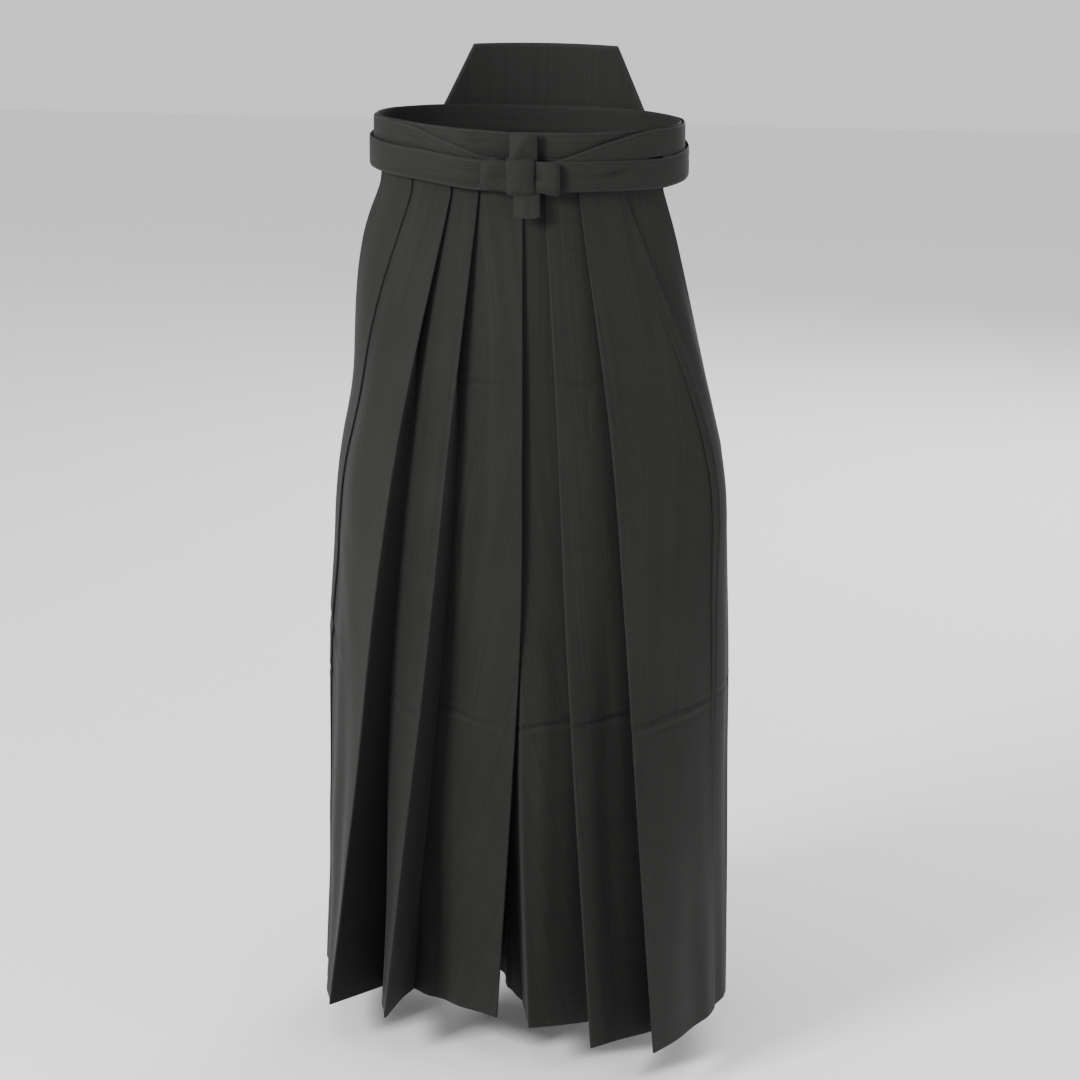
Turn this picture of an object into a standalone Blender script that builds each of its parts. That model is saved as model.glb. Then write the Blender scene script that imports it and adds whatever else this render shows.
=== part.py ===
# Men's divided hakama in its worn form: two pleated fronts, two pleated backs, the inner leg
# panels, a stiff back board, the belts sewn to front and back, and the cross knot that ties them.
# Metres, +Z up. The front faces -Y and the wearer's left is +X. The origin is the middle of the
# waist, level with the front top edge.

import math

import bmesh
import bpy
import numpy as np

CM = 0.01
MM = 0.001

# Cloth
WALL = 1.2 * MM
LAYER = 1.7 * MM  # from one layer to the next where pleats lie flat under the belt
SEAM_GAP = 0.3 * MM
STEP_WIDTH = 3.0 * MM  # across the edge of a side tuck
STEP_DROP = 3.0 * MM  # depth of a side tuck at the belt
STEP_DROP_AT_HEM = 0.6 * MM

# Waist oval that the innermost layer follows, and heights below the front top edge
WAIST_HALF_WIDTH = 15.2 * CM
WAIST_HALF_DEPTH = 11.6 * CM
FRONT_TOP = 0.3 * CM
BACK_TOP = 3.33 * CM
BELT_EDGE = 6.5 * CM
OPENING_END = 33.0 * CM
CROTCH = 50.0 * CM
KNEE = 70.0 * CM
HEM = 94.0 * CM
STATIONS = (BELT_EDGE, OPENING_END, CROTCH, KNEE, HEM)
UPPER_ROWS = (3.4 * CM, BELT_EDGE, 8.5 * CM, 11.0 * CM, 15.0 * CM, 20.0 * CM, 26.0 * CM, OPENING_END)
LOWER_ROWS = (39.0 * CM, 44.5 * CM, CROTCH, 55.0 * CM, 61.0 * CM, KNEE, 78.0 * CM, 86.0 * CM, HEM)

# Belts
BELT_WALL = 1.6 * MM
BELT_LAYER = 2.1 * MM
BELT_WIDTH = 2.9 * CM
KNOT_X = 1.1 * CM

# Back board
BOARD_WALL = 4.0 * MM
BOARD_BOTTOM = -3.3 * CM
BOARD_HEIGHT = 9.3 * CM
BOARD_HALF_BOTTOM = 12.0 * CM
BOARD_HALF_TOP = 7.6 * CM
BOARD_COLUMNS = 15

# Each row is one fold or edge of a panel, in centimetres, in the order in which the cloth runs
# round the body. A tip is a pleat's visible fold, a valley is its hidden one, a step is the edge of
# a side tuck. Layer counts outwards from the innermost at the belt. "more" points are spaced along
# the cloth up to the next row, which bulges outwards by "bulge".
# name, kind, layer, x at belt, (x, y) at opening end, crotch, knee and hem, more, bulge
FRONT_RIGHT = (
    ("side", "side", 4, -14.6, (-19.6, 1.5), (-22.0, 3.5), (-23.0, 5.0), (-24.4, 6.5), 1, 0.2),
    ("side_tuck", "step", 4, -10.8, (-17.8, -4.5), (-20.8, -1.8), (-21.9, -0.4), (-23.2, 1.0), 3, 0.5),
    ("outer_pleat", "tip", 3.5, -6.4, (-11.9, -12.8), (-14.4, -12.9), (-16.7, -12.4), (-20.2, -11.5), 1, 0.0),
    ("outer_under", "valley", 2.5, -9.2, (-10.7, -10.9), (-12.6, -9.9), (-14.2, -8.0), (-15.8, -5.0), 3, 0.1),
    ("second_pleat", "tip", 1.5, -3.5, (-6.4, -13.8), (-8.2, -14.4), (-10.5, -14.7), (-13.4, -14.6), 1, 0.0),
    ("second_under", "valley", 0.5, -6.1, (-5.8, -11.7), (-7.2, -11.0), (-9.2, -9.4), (-12.5, -5.6), 1, 0.0),
    ("third_low", "plain", 0, -3.5, (-3.5, -12.5), (-4.6, -12.1), (-6.2, -11.2), (-8.5, -8.1), 0, 0.0),
    ("third_high", "plain", 2, -2.0, (-1.9, -13.7), (-2.4, -13.4), (-3.6, -12.6), (-5.5, -10.2), 1, 0.1),
    ("centre_pleat", "tip", 1.5, 1.0, (1.3, -14.0), (1.2, -14.2), (0.0, -13.6), (-1.7, -12.5), 1, 0.0),
    ("centre_under", "valley", 0.5, -1.9, (-1.9, -13.1), (-2.1, -12.8), (-3.2, -11.2), (-5.0, -8.5), 0, 0.0),
    ("centre", "centre", 0, -1.0, (-0.9, -12.7), (-1.2, -12.3), (-4.0, -8.3), (-7.0, -2.0), 0, 0.0),
)
FRONT_LEFT = (
    ("centre", "centre", 0, -1.0, (-0.9, -12.7), (-1.2, -12.3), (-0.4, -9.6), (0.2, -7.0), 0, 0.0),
    ("inner_edge", "plain", 0, 1.0, (1.1, -13.2), (1.2, -13.7), (1.4, -14.5), (2.2, -15.1), 2, 0.1),
    ("fourth_under", "valley", 0.5, 6.4, (7.0, -12.6), (7.8, -12.5), (9.2, -12.3), (10.6, -11.2), 1, 0.0),
    ("fourth_pleat", "tip", 1.5, 3.4, (5.3, -14.6), (6.3, -16.2), (7.7, -18.0), (9.5, -19.7), 2, 0.1),
    ("fifth_under", "valley", 2.5, 9.7, (12.0, -12.0), (13.4, -12.6), (15.0, -12.6), (16.8, -11.8), 1, 0.0),
    ("fifth_pleat", "tip", 3.5, 6.8, (10.8, -14.2), (12.4, -16.0), (14.1, -18.2), (16.1, -20.1), 3, 0.4),
    ("side_tuck", "step", 4, 11.0, (19.6, -8.0), (20.6, -7.4), (20.5, -6.8), (20.9, -6.2), 1, 0.1),
    ("side", "side", 4, 14.4, (19.5, -2.6), (20.9, -1.8), (21.2, -1.2), (21.3, -0.8), 0, 0.0),
)
BACK_LEFT = (
    ("side", "side", 2, 12.4, (19.5, -2.6), (20.9, -1.8), (21.2, -1.2), (21.3, -0.8), 5, 2.6),
    ("back_pleat", "tip", 1.5, 1.8, (4.4, 14.8), (5.4, 16.8), (6.3, 19.2), (7.4, 21.6), 2, 0.0),
    ("back_under", "valley", 0.5, 5.8, (6.2, 10.2), (7.0, 11.6), (8.2, 13.4), (9.6, 15.4), 3, 0.1),
    ("centre", "centre", 0, 0.0, (0.0, 11.8), (0.0, 12.8), (-0.6, 14.4), (-1.6, 16.0), 0, 0.0),
)
BACK_RIGHT = (
    ("centre", "centre", 0, 0.0, (0.0, 11.8), (0.0, 12.8), (-3.0, 14.0), (-5.8, 14.4), 3, 0.1),
    ("back_under", "valley", 0.5, -5.8, (-6.4, 10.2), (-8.2, 11.6), (-10.8, 13.4), (-13.4, 14.8), 2, 0.0),
    ("back_pleat", "tip", 1.5, -1.8, (-4.4, 14.8), (-6.2, 16.8), (-8.6, 19.0), (-11.4, 20.8), 5, 2.4),
    ("side", "side", 2, -12.4, (-19.6, 1.5), (-22.0, 3.5), (-23.0, 5.0), (-24.4, 6.5), 0, 0.0),
)
# Inner leg panels: the sway of the middle of the panel at crotch, knee and hem, in centimetres
INNER_RIGHT_MIDDLE = ((-0.6, 1.0), (-5.0, 3.5), (-8.2, 6.0))
INNER_POINTS = 7
INNER_LEFT_MIDDLE = ((-0.6, 1.0), (-2.7, 3.5), (-4.8, 6.0))

FOLDS = ("tip", "valley")

CLOTH_COLOUR = (0.026, 0.026, 0.024)
BELT_COLOUR = (0.032, 0.031, 0.029)
BOARD_COLOUR = (0.028, 0.028, 0.026)


def unit(vector):
    length = math.hypot(vector[0], vector[1])
    return np.array(vector) / max(length, 1e-9)


def left_of(vector):
    return np.array((-vector[1], vector[0]))


def oval(x, outwards, side):
    """Plan point on the waist oval at this x, moved out, on the front (side -1) or the back (1)."""
    half_width = WAIST_HALF_WIDTH + outwards
    half_depth = WAIST_HALF_DEPTH + outwards
    return np.array((x, side * half_depth * math.sqrt(max(0.0, 1 - (x / half_width) ** 2))))


def smooth_through(stations, values, at):
    """Cubic curve through the values at the stations; its slopes are those of the neighbours."""
    at = min(max(at, stations[0]), stations[-1])
    slopes = np.gradient(np.array(values, float), np.array(stations), axis=0)
    i = min(int(np.searchsorted(stations, at, side="right")) - 1, len(stations) - 2)
    span = stations[i + 1] - stations[i]
    t = (at - stations[i]) / span
    start = (1 + 2 * t) * (1 - t) ** 2
    end = t * t * (3 - 2 * t)
    leaving = t * (1 - t) ** 2 * span
    arriving = t * t * (t - 1) * span
    return (
        start * np.array(values[i])
        + end * np.array(values[i + 1])
        + leaving * slopes[i]
        + arriving * slopes[i + 1]
    )


def stations_of(rows, side):
    """The folds of a panel with the points between them: kind and plan points at the stations."""
    columns = []
    # A pleat's two layers lie half a layer either side of its own: the outer one comes first where
    # the panel runs from the side to the centre.
    half = 0.5 if rows[0][1] == "side" else -0.5
    for row, following in zip(rows, rows[1:] + (None,)):
        _, kind, layer, x_belt, *lower, more, bulge = row
        points = [oval(x_belt * CM, layer * LAYER, side)] + [np.array(p) * CM for p in lower]
        columns.append((kind, points))
        if following is None:
            continue
        next_layer, next_x = following[2], following[3]
        start_layer = layer - (half if kind in FOLDS else 0.0)
        end_layer = next_layer + (half if following[1] in FOLDS else 0.0)
        for k in range(more):
            share = (k + 1) / (more + 1)
            at_belt = oval(
                (x_belt + (next_x - x_belt) * share) * CM,
                (start_layer + (end_layer - start_layer) * share) * LAYER,
                side,
            )
            between = [at_belt]
            for here, there in zip(lower, following[4:8]):
                chord = np.array(there, float) - np.array(here, float)
                out = -left_of(unit(chord)) * bulge * 4 * share * (1 - share)
                between.append((np.array(here) + chord * share + out) * CM)
            columns.append(("plain", between))
    return columns


def plan_at(columns, drop):
    """The panel's middle line in plan, this far below the front top edge."""
    plain = []
    for kind, points in columns:
        stations = STATIONS
        if kind in ("side", "centre"):
            split = STATIONS.index(OPENING_END if kind == "side" else CROTCH)
            part = slice(0, split + 1) if drop < STATIONS[split] else slice(split, None)
            stations = STATIONS[part]
            points = points[part]
        plain.append(smooth_through(stations, points, drop))
    line = []
    for i, (kind, _) in enumerate(columns):
        here = plain[i]
        if kind in ("tip", "valley"):
            arriving = unit(here - plain[i - 1])
            leaving = unit(plain[i + 1] - here)
            across = left_of(unit(arriving - leaving)) * LAYER / 2
            turn = 1 if kind == "tip" else -1
            line += [here - across * turn, here + across * turn]
        elif kind == "step":
            along = unit(plain[i + 1] - plain[i - 1])
            share = min(max((drop - BELT_EDGE) / (HEM - BELT_EDGE), 0.0), 1.0)
            depth = STEP_DROP + (STEP_DROP_AT_HEM - STEP_DROP) * share
            inwards = left_of(along) * depth
            low_first = plain[0][0] < 0 and here[0] < 0
            before = here - along * STEP_WIDTH / 2
            after = here + along * STEP_WIDTH / 2
            line += [before + inwards, after] if low_first else [before, after + inwards]
        else:
            line.append(here)
    return np.array(line)


def pulled_back(line, before=None, after=None):
    """The line with its seam ends drawn back, so that walls that meet there stay a gap apart."""
    line = line.copy()
    for end, inner, beyond in ((0, 1, before), (-1, -2, after)):
        if beyond is None:
            continue
        towards = unit(line[end] - line[inner])
        onwards = unit(np.array(beyond) - line[end])
        half_turn = math.acos(min(max(float(towards @ onwards), -1.0), 1.0)) / 2
        pull = SEAM_GAP / 2 + WALL / 2 * math.tan(min(half_turn, math.radians(60)))
        line[end] = line[end] - towards * pull
    return line


def sideways(line):
    """Mitred outward steps for each point of a plan line."""
    ahead = np.array([unit(b - a) for a, b in zip(line, line[1:])])
    normals = np.array([-left_of(d) for d in ahead])
    steps = [normals[0]]
    for a, b in zip(normals, normals[1:]):
        middle = unit(a + b)
        steps.append(middle / max(float(middle @ a), 0.45))
    steps.append(normals[-1])
    return np.array(steps)


def material(name, colour, roughness):
    made = bpy.data.materials.new(name)
    made.use_nodes = True
    shader = made.node_tree.nodes["Principled BSDF"]
    shader.inputs["Base Color"].default_value = (*colour, 1.0)
    shader.inputs["Roughness"].default_value = roughness
    shader.inputs["Metallic"].default_value = 0.0
    made.diffuse_color = (*colour, 1.0)
    return made


def finish(name, bm, made_of, parent):
    bmesh.ops.recalc_face_normals(bm, faces=bm.faces)
    mesh = bpy.data.meshes.new(name)
    bm.to_mesh(mesh)
    bm.free()
    mesh.shade_smooth()
    mesh.set_sharp_from_angle(angle=math.radians(35))
    mesh.materials.append(made_of)
    piece = bpy.data.objects.new(name, mesh)
    bpy.context.scene.collection.objects.link(piece)
    piece.parent = parent
    return piece


def cloth(name, rows, thickness, made_of, parent):
    """A closed wall round a grid of middle points, thickened sideways in plan."""
    bm = bmesh.new()
    skins = []
    for sign in (1, -1):
        skin = []
        for row in rows:
            step = sideways(row[:, :2]) * sign * thickness / 2
            skin.append([bm.verts.new((p[0] + s[0], p[1] + s[1], p[2])) for p, s in zip(row, step)])
        skins.append(skin)
    outer, inner = skins
    last_row = len(rows) - 1
    last_column = len(outer[0]) - 1
    for r in range(last_row):
        for c in range(last_column):
            falling = np.linalg.norm(rows[r][c] - rows[r + 1][c + 1])
            rising = np.linalg.norm(rows[r][c + 1] - rows[r + 1][c])
            for skin in skins:
                corners = [skin[r][c], skin[r][c + 1], skin[r + 1][c + 1], skin[r + 1][c]]
                if rising < falling:
                    corners = corners[1:] + corners[:1]
                bm.faces.new((corners[0], corners[1], corners[2]))
                bm.faces.new((corners[0], corners[2], corners[3]))
    for r in (0, last_row):
        for c in range(last_column):
            bm.faces.new((outer[r][c], outer[r][c + 1], inner[r][c + 1], inner[r][c]))
    for c in (0, last_column):
        for r in range(last_row):
            bm.faces.new((outer[r][c], outer[r + 1][c], inner[r + 1][c], inner[r][c]))
    return finish(name, bm, made_of, parent)


def swept(name, sections, made_of, parent):
    """A closed bar lofted through sections, each a ring of points."""
    bm = bmesh.new()
    rings = [[bm.verts.new(p) for p in section] for section in sections]
    for a, b in zip(rings, rings[1:]):
        for i in range(len(a)):
            j = (i + 1) % len(a)
            bm.faces.new((a[i], a[j], b[j], b[i]))
    bm.faces.new(rings[0])
    bm.faces.new(rings[-1])
    return finish(name, bm, made_of, parent)


def with_height(line, drop):
    return np.column_stack((line, np.full(len(line), -drop)))


def leg_panels(made_of, parent):
    """Fronts, backs and inner leg panels, each drawn back from its neighbours at the seams."""
    panels = {
        "front_right": stations_of(FRONT_RIGHT, -1),
        "front_left": stations_of(FRONT_LEFT, -1),
        "back_left": stations_of(BACK_LEFT, 1),
        "back_right": stations_of(BACK_RIGHT, 1),
    }
    order = list(panels)
    inner = {"right": INNER_RIGHT_MIDDLE, "left": INNER_LEFT_MIDDLE}
    middles = {leg: [np.array(p) * CM for p in points] for leg, points in inner.items()}
    inner_rows = {"right": [], "left": []}
    panel_rows = {name: [] for name in panels}
    for drop in (FRONT_TOP, BACK_TOP) + UPPER_ROWS + LOWER_ROWS:
        lines = {name: plan_at(columns, drop) for name, columns in panels.items()}
        legs = {}
        if drop >= CROTCH:
            for leg, turn in (("right", -1), ("left", 1)):
                front = lines["front_" + leg]
                back = lines["back_" + leg]
                start = front[-1] if leg == "right" else front[0]
                end = back[0] if leg == "right" else back[-1]
                middle = smooth_through(STATIONS[2:], middles[leg], drop)
                legs[leg] = inner_line(start, middle, end, turn, drop)
        for i, name in enumerate(order):
            if name.startswith("front") and drop in (BACK_TOP,):
                continue
            if name.startswith("back") and drop in (FRONT_TOP, UPPER_ROWS[0]):
                continue
            line = lines[name]
            leg = name.split("_")[1]
            previous = lines[order[i - 1]]
            following = lines[order[(i + 1) % len(order)]]
            before = previous[-2]
            after = following[1]
            starts_at_centre = name in ("front_left", "back_right")
            if drop >= CROTCH and starts_at_centre:
                before = legs[leg][1] if name == "front_left" else legs[leg][-2]
            if drop >= CROTCH and not starts_at_centre:
                after = legs[leg][1] if name == "front_right" else legs[leg][-2]
            if drop < OPENING_END:
                before = before if starts_at_centre else None
                after = None if starts_at_centre else after
            panel_rows[name].append(with_height(pulled_back(line, before, after), drop))
        for leg, line in legs.items():
            front = lines["front_" + leg]
            back = lines["back_" + leg]
            before = front[-2] if leg == "right" else front[1]
            after = back[1] if leg == "right" else back[-2]
            inner_rows[leg].append(with_height(pulled_back(line, before, after), drop))
    for name, rows in panel_rows.items():
        cloth(name, rows, WALL, made_of, parent)
    for leg, rows in inner_rows.items():
        cloth("inner_leg_" + leg, rows, WALL, made_of, parent)


def inner_line(start, middle, end, turn, drop):
    """Plan line of an inner leg panel from the front seam to the back seam, bowed through its middle.
    At the crotch the two panels lie side by side, half a gap and half a wall from their seam."""
    aside = np.array((turn * (WALL + SEAM_GAP) / 2, 0.0)) if drop == CROTCH else np.zeros(2)
    line = []
    for t in np.linspace(0.0, 1.0, INNER_POINTS):
        bow = (start * (1 - t) * (1 - 2 * t)) + (middle * 4 * t * (1 - t)) + (end * t * (2 * t - 1))
        line.append(bow + aside)
    return np.array(line)


def eased(value, low, high):
    t = min(max((value - low) / (high - low), 0.0), 1.0)
    return t * t * (3 - 2 * t)


# Angles run round the waist from the front, in degrees, towards the wearer's left (+).
FRONT_LIFT = 4.4 * MM  # inner face of the belts over the centre pleats
SIDE_LIFT = 7.8 * MM  # and over the outer panels
BACK_LIFT = -8.3 * MM  # and inside the backs
OUTSIDE_BOARD = 5.6 * MM  # middle of the back belt over the board
LIFT_ANGLES = (9.0, 22.0)
SIDE_ANGLES = (70.0, 122.0)


def belt_offset(angle, layer):
    """How far the middle of a belt layer stands outside the waist oval."""
    turn = abs(angle)
    front = FRONT_LIFT + (SIDE_LIFT - FRONT_LIFT) * eased(turn, *LIFT_ANGLES)
    back = eased(turn, *SIDE_ANGLES)
    height = layer * BELT_LAYER + BELT_WALL / 2
    if layer == 3:
        return (front + height) * (1 - back) + OUTSIDE_BOARD * back
    return (front * (1 - back) + BACK_LIFT * back) + height


def around(angle, outwards, z):
    turn = math.radians(angle)
    return (
        (WAIST_HALF_WIDTH + outwards) * math.sin(turn),
        -(WAIST_HALF_DEPTH + outwards) * math.cos(turn),
        z,
    )


def belt(name, angles, layer, top_at, width, made_of, parent):
    sections = []
    for angle in angles:
        middle = belt_offset(angle, layer)
        top = top_at(angle)
        low = top - width
        near = middle - BELT_WALL / 2
        far = middle + BELT_WALL / 2
        ring = (
            (near, low + BELT_ROUNDING),
            (near, top - BELT_ROUNDING),
            (middle, top),
            (far, top - BELT_ROUNDING),
            (far, low + BELT_ROUNDING),
            (middle, low),
        )
        sections.append([around(angle, outwards, z) for outwards, z in ring])
    return swept(name, sections, made_of, parent)


def between_rows(table):
    """A height at any angle, straight from row to row of (angle in degrees, centimetres)."""
    angles = [row[0] for row in table]
    heights = [row[1] * CM for row in table]
    return lambda angle: float(np.interp(angle, angles, heights))


# Top edge of each belt layer round the waist: (angle, height in centimetres)
TOP_BAND = ((-179, -0.4), (-100, 0.35), (-50, 0.55), (-30, 0.4), (0, 0.05), (100, 0.0), (179, -0.4))
WRAP_FROM_RIGHT = (
    (-179, -0.6),
    (-100, 0.1),
    (-56, 0.5),
    (-40, 0.15),
    (-21, -1.4),
    (-12, -2.4),
    (4, -3.1),
    (30, -2.95),
    (60, -3.2),
    (100, -2.6),
    (179, -1.0),
)
WRAP_FROM_LEFT = (
    (-179, -1.0),
    (-100, -1.75),
    (-55, -2.1),
    (-33, -2.25),
    (-12, -2.9),
    (4, -3.2),
    (18, -2.65),
    (34, -1.15),
    (46, -0.35),
    (56, 0.0),
    (100, -0.1),
    (179, -0.6),
)
BACK_BELT = (
    (-140, -0.35),
    (-100, -1.6),
    (-55, -1.95),
    (-33, -2.1),
    (-12, -2.75),
    (30, -2.8),
    (60, -3.05),
    (100, -2.45),
    (140, -0.35),
)
FULL_TURN = 179.94  # where a belt's two ends meet behind
BELT_SECTIONS = 73
BACK_BELT_END = 134.0  # where the back belt leaves the board
BACK_BELT_SECTIONS = 29
BACK_BELT_WIDTH = 3.1 * CM
BELT_ROUNDING = 0.5 * MM
KNOT_CLEARANCE = 0.1  # degrees from the middle of the knot to each back belt's end


def belts(made_of, parent):
    full = np.linspace(-FULL_TURN, FULL_TURN, BELT_SECTIONS)
    belt("belt_front_band", full, 0, between_rows(TOP_BAND), BELT_WIDTH, made_of, parent)
    belt("belt_wrap_right", full, 1, between_rows(WRAP_FROM_RIGHT), BELT_WIDTH, made_of, parent)
    belt("belt_wrap_left", full, 2, between_rows(WRAP_FROM_LEFT), BELT_WIDTH, made_of, parent)
    middle = math.degrees(math.asin(KNOT_X / WAIST_HALF_WIDTH))
    right = np.linspace(-BACK_BELT_END, middle - KNOT_CLEARANCE, BACK_BELT_SECTIONS)
    left = np.linspace(middle + KNOT_CLEARANCE, BACK_BELT_END, BACK_BELT_SECTIONS)
    for name, angles in (("belt_back_right", right), ("belt_back_left", left)):
        belt(name, angles, 3, between_rows(BACK_BELT), BACK_BELT_WIDTH, made_of, parent)


# Knot: each stretch is a folded length of belt. Heights and distances from its middle, in centimetres
TAIL_UP = (-1.24, 1.55, 0.1, -4.2)  # from, to, top, bottom
TAIL_DOWN = (-0.84, 1.78, -4.25, -8.55)
BOWS = (("right", -1, 3.75, -2.65, -5.45), ("left", 1, 3.45, -3.0, -6.1))  # side, way, reach, top, bottom
BOW_NECK_TOP = -2.62
BOW_NECK_BOTTOM = -5.75
BOW_NECK = 0.05
BOW_OPENS = (1.25, 2.1)  # distances between which a bow widens from its neck
WRAP_HALF = 1.35
WRAP_TOP = -2.3
WRAP_BOTTOM = -6.05
WRAP_WALL = 1.8 * MM
WRAP_CROWN = 1.2 * MM  # how far the middle of the wrap swells
WRAP_ROUNDING = 1.0 * MM
WRAP_CORNER = 2.0 * MM
TAIL_WALL = 2.4 * MM
TAIL_ROUNDING = 0.6 * MM
BOW_EDGE = 0.3
BOW_SLACK = 0.4 * MM  # a bow's two layers lie this much further apart than a belt's


def knot_angle(distance):
    return math.degrees(math.asin((KNOT_X + distance * CM) / WAIST_HALF_WIDTH))


def knot(made_of, parent):
    face = belt_offset(knot_angle(0), 3) + BELT_WALL / 2 + SEAM_GAP
    for name, (start, end, top, bottom) in (("knot_tail_up", TAIL_UP), ("knot_tail_down", TAIL_DOWN)):
        sections = []
        for distance in np.linspace(start, end, 5):
            angle = knot_angle(distance)
            near = belt_offset(angle, 3) + BELT_WALL / 2 + SEAM_GAP
            far = near + TAIL_WALL
            high, low = top * CM, bottom * CM
            ring = (
                (near, low),
                (near, high),
                (far - TAIL_ROUNDING, high),
                (far, high - TAIL_ROUNDING),
                (far, low + TAIL_ROUNDING),
                (far - TAIL_ROUNDING, low),
            )
            sections.append([around(angle, outwards, z) for outwards, z in ring])
        swept(name, sections, made_of, parent)
    first = face + TAIL_WALL + SEAM_GAP + BELT_WALL / 2
    second = first + BELT_LAYER + BOW_SLACK
    for side, direction, reach, bow_top, bow_bottom in BOWS:
        there = []
        for distance in np.linspace(BOW_NECK, reach, 8):
            angle = knot_angle(distance * direction)
            lift = belt_offset(angle, 3) - belt_offset(knot_angle(0), 3)
            opened = eased(distance, *BOW_OPENS)
            top = BOW_NECK_TOP + (bow_top - BOW_NECK_TOP) * opened
            bottom = BOW_NECK_BOTTOM + (bow_bottom - BOW_NECK_BOTTOM) * opened
            there.append((angle, lift, top, bottom))
        path = [(first + lift, *rest) for angle, lift, *rest in there]
        path += [(second + lift, *rest) for angle, lift, *rest in reversed(there)]
        angles = [row[0] for row in there] + [row[0] for row in reversed(there)]
        rows = []
        for share, inset in ((1, 0.0), (1, -BOW_EDGE), (0, BOW_EDGE), (0, 0.0)):
            line = []
            for angle, (outwards, top, bottom) in zip(angles, path):
                height = top if share else bottom
                line.append(around(angle, outwards, (height + inset) * CM))
            rows.append(np.array(line))
        cloth("knot_bow_" + side, rows, BELT_WALL, made_of, parent)
    near = face + TAIL_WALL + SEAM_GAP
    inside = second + BELT_WALL / 2 + SEAM_GAP
    outside = inside + WRAP_WALL
    top, low = WRAP_TOP * CM, WRAP_BOTTOM * CM
    sections = []
    for distance in np.linspace(-WRAP_HALF, WRAP_HALF, 7):
        crown = WRAP_CROWN * (1 - (distance / WRAP_HALF) ** 2)
        ring = (
            (near, low),
            (outside - WRAP_ROUNDING, low),
            (outside, low + WRAP_CORNER),
            (outside + crown, (top + low) / 2),
            (outside, top - WRAP_CORNER),
            (outside - WRAP_ROUNDING, top),
            (near, top),
            (near, top - WRAP_CORNER),
            (inside, top - WRAP_CORNER - SEAM_GAP),
            (inside, low + WRAP_CORNER + SEAM_GAP),
            (near, low + WRAP_CORNER),
        )
        sections.append([around(knot_angle(distance), outwards, z) for outwards, z in ring])
    swept("knot_wrap", sections, made_of, parent)


def back_board(made_of, parent):
    rows = []
    for share in (0.0, 0.12, 0.5, 0.88, 1.0):
        half = BOARD_HALF_BOTTOM + (BOARD_HALF_TOP - BOARD_HALF_BOTTOM) * share
        across = np.linspace(half, -half, BOARD_COLUMNS)
        line = np.array([oval(x, LAYER, 1) for x in across])
        rows.append(with_height(line, -(BOARD_BOTTOM + BOARD_HEIGHT * share)))
    return cloth("back_board", rows, BOARD_WALL, made_of, parent)


def main():
    for item in list(bpy.data.objects):
        bpy.data.objects.remove(item)
    holder = bpy.data.objects.new("hakama", None)
    bpy.context.scene.collection.objects.link(holder)
    cloth_finish = material("hakama_cloth", CLOTH_COLOUR, 0.9)
    belt_finish = material("belt_cloth", BELT_COLOUR, 0.85)
    board_finish = material("board_cloth", BOARD_COLOUR, 0.85)
    leg_panels(cloth_finish, holder)
    belts(belt_finish, holder)
    knot(belt_finish, holder)
    back_board(board_finish, holder)


main()
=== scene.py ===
import math

import bpy
import numpy as np
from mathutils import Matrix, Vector


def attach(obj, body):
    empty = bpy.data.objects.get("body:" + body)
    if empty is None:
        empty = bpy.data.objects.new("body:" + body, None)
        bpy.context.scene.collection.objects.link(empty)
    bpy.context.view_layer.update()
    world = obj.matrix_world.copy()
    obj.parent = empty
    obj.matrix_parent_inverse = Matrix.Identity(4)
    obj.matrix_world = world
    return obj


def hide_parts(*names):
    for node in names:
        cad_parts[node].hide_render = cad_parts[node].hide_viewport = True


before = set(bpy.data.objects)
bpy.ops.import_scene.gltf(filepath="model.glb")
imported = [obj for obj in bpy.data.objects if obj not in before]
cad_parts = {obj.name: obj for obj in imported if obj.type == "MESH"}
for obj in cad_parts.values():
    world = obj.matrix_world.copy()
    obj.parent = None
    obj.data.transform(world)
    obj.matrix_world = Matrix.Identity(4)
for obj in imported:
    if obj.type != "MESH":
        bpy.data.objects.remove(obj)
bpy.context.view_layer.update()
print("frame loaded")

cm = 0.01
mm = 0.001

# Camera, light and floor

view = {"turn": 9.0, "distance": 4.0, "height": 0.55, "aimX": 0.01, "aimZ": -0.4495, "lens": 130.0}
studio = {
    "worldColour": (1.0, 1.0, 1.0),
    "worldStrength": 0.94,
    "floorHeight": -0.99,
    "floorWidth": 14.0,
    "floorColour": (0.86, 0.86, 0.855),
    # name, place, size, watts
    "lights": (
        ("keyLight", (-1.95, -2.6, 1.3), 1.0, 185.0),
        ("fillLight", (3.1, -0.8, -0.3), 1.0, 40.0),
        ("topLight", (-0.3, -0.9, 2.8), 1.6, 22.0),
        ("backLight", (0.9, 3.1, 1.1), 1.8, 85.0),
    ),
}


def aimed(holder, place, aim):
    holder.location = place
    holder.rotation_euler = (Vector(aim) - Vector(place)).to_track_quat("-Z", "Y").to_euler()
    bpy.context.scene.collection.objects.link(holder)


def setCamera():
    turn = math.radians(view["turn"])
    lens = bpy.data.cameras.new("camera")
    lens.sensor_width = 36.0
    lens.lens = view["lens"]
    holder = bpy.data.objects.new("camera", lens)
    across = view["aimX"] + view["distance"] * math.sin(turn)
    place = (across, -view["distance"] * math.cos(turn), view["height"])
    aimed(holder, place, (view["aimX"], 0.0, view["aimZ"]))
    bpy.context.scene.camera = holder


def setLights():
    world = bpy.data.worlds.new("studio")
    world.use_nodes = True
    background = world.node_tree.nodes["Background"]
    background.inputs["Color"].default_value = (*studio["worldColour"], 1.0)
    background.inputs["Strength"].default_value = studio["worldStrength"]
    bpy.context.scene.world = world
    for name, place, size, watts in studio["lights"]:
        lamp = bpy.data.lights.new(name, "AREA")
        lamp.size = size
        lamp.energy = watts
        aimed(bpy.data.objects.new(name, lamp), place, (0.0, 0.0, -0.45))


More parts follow.
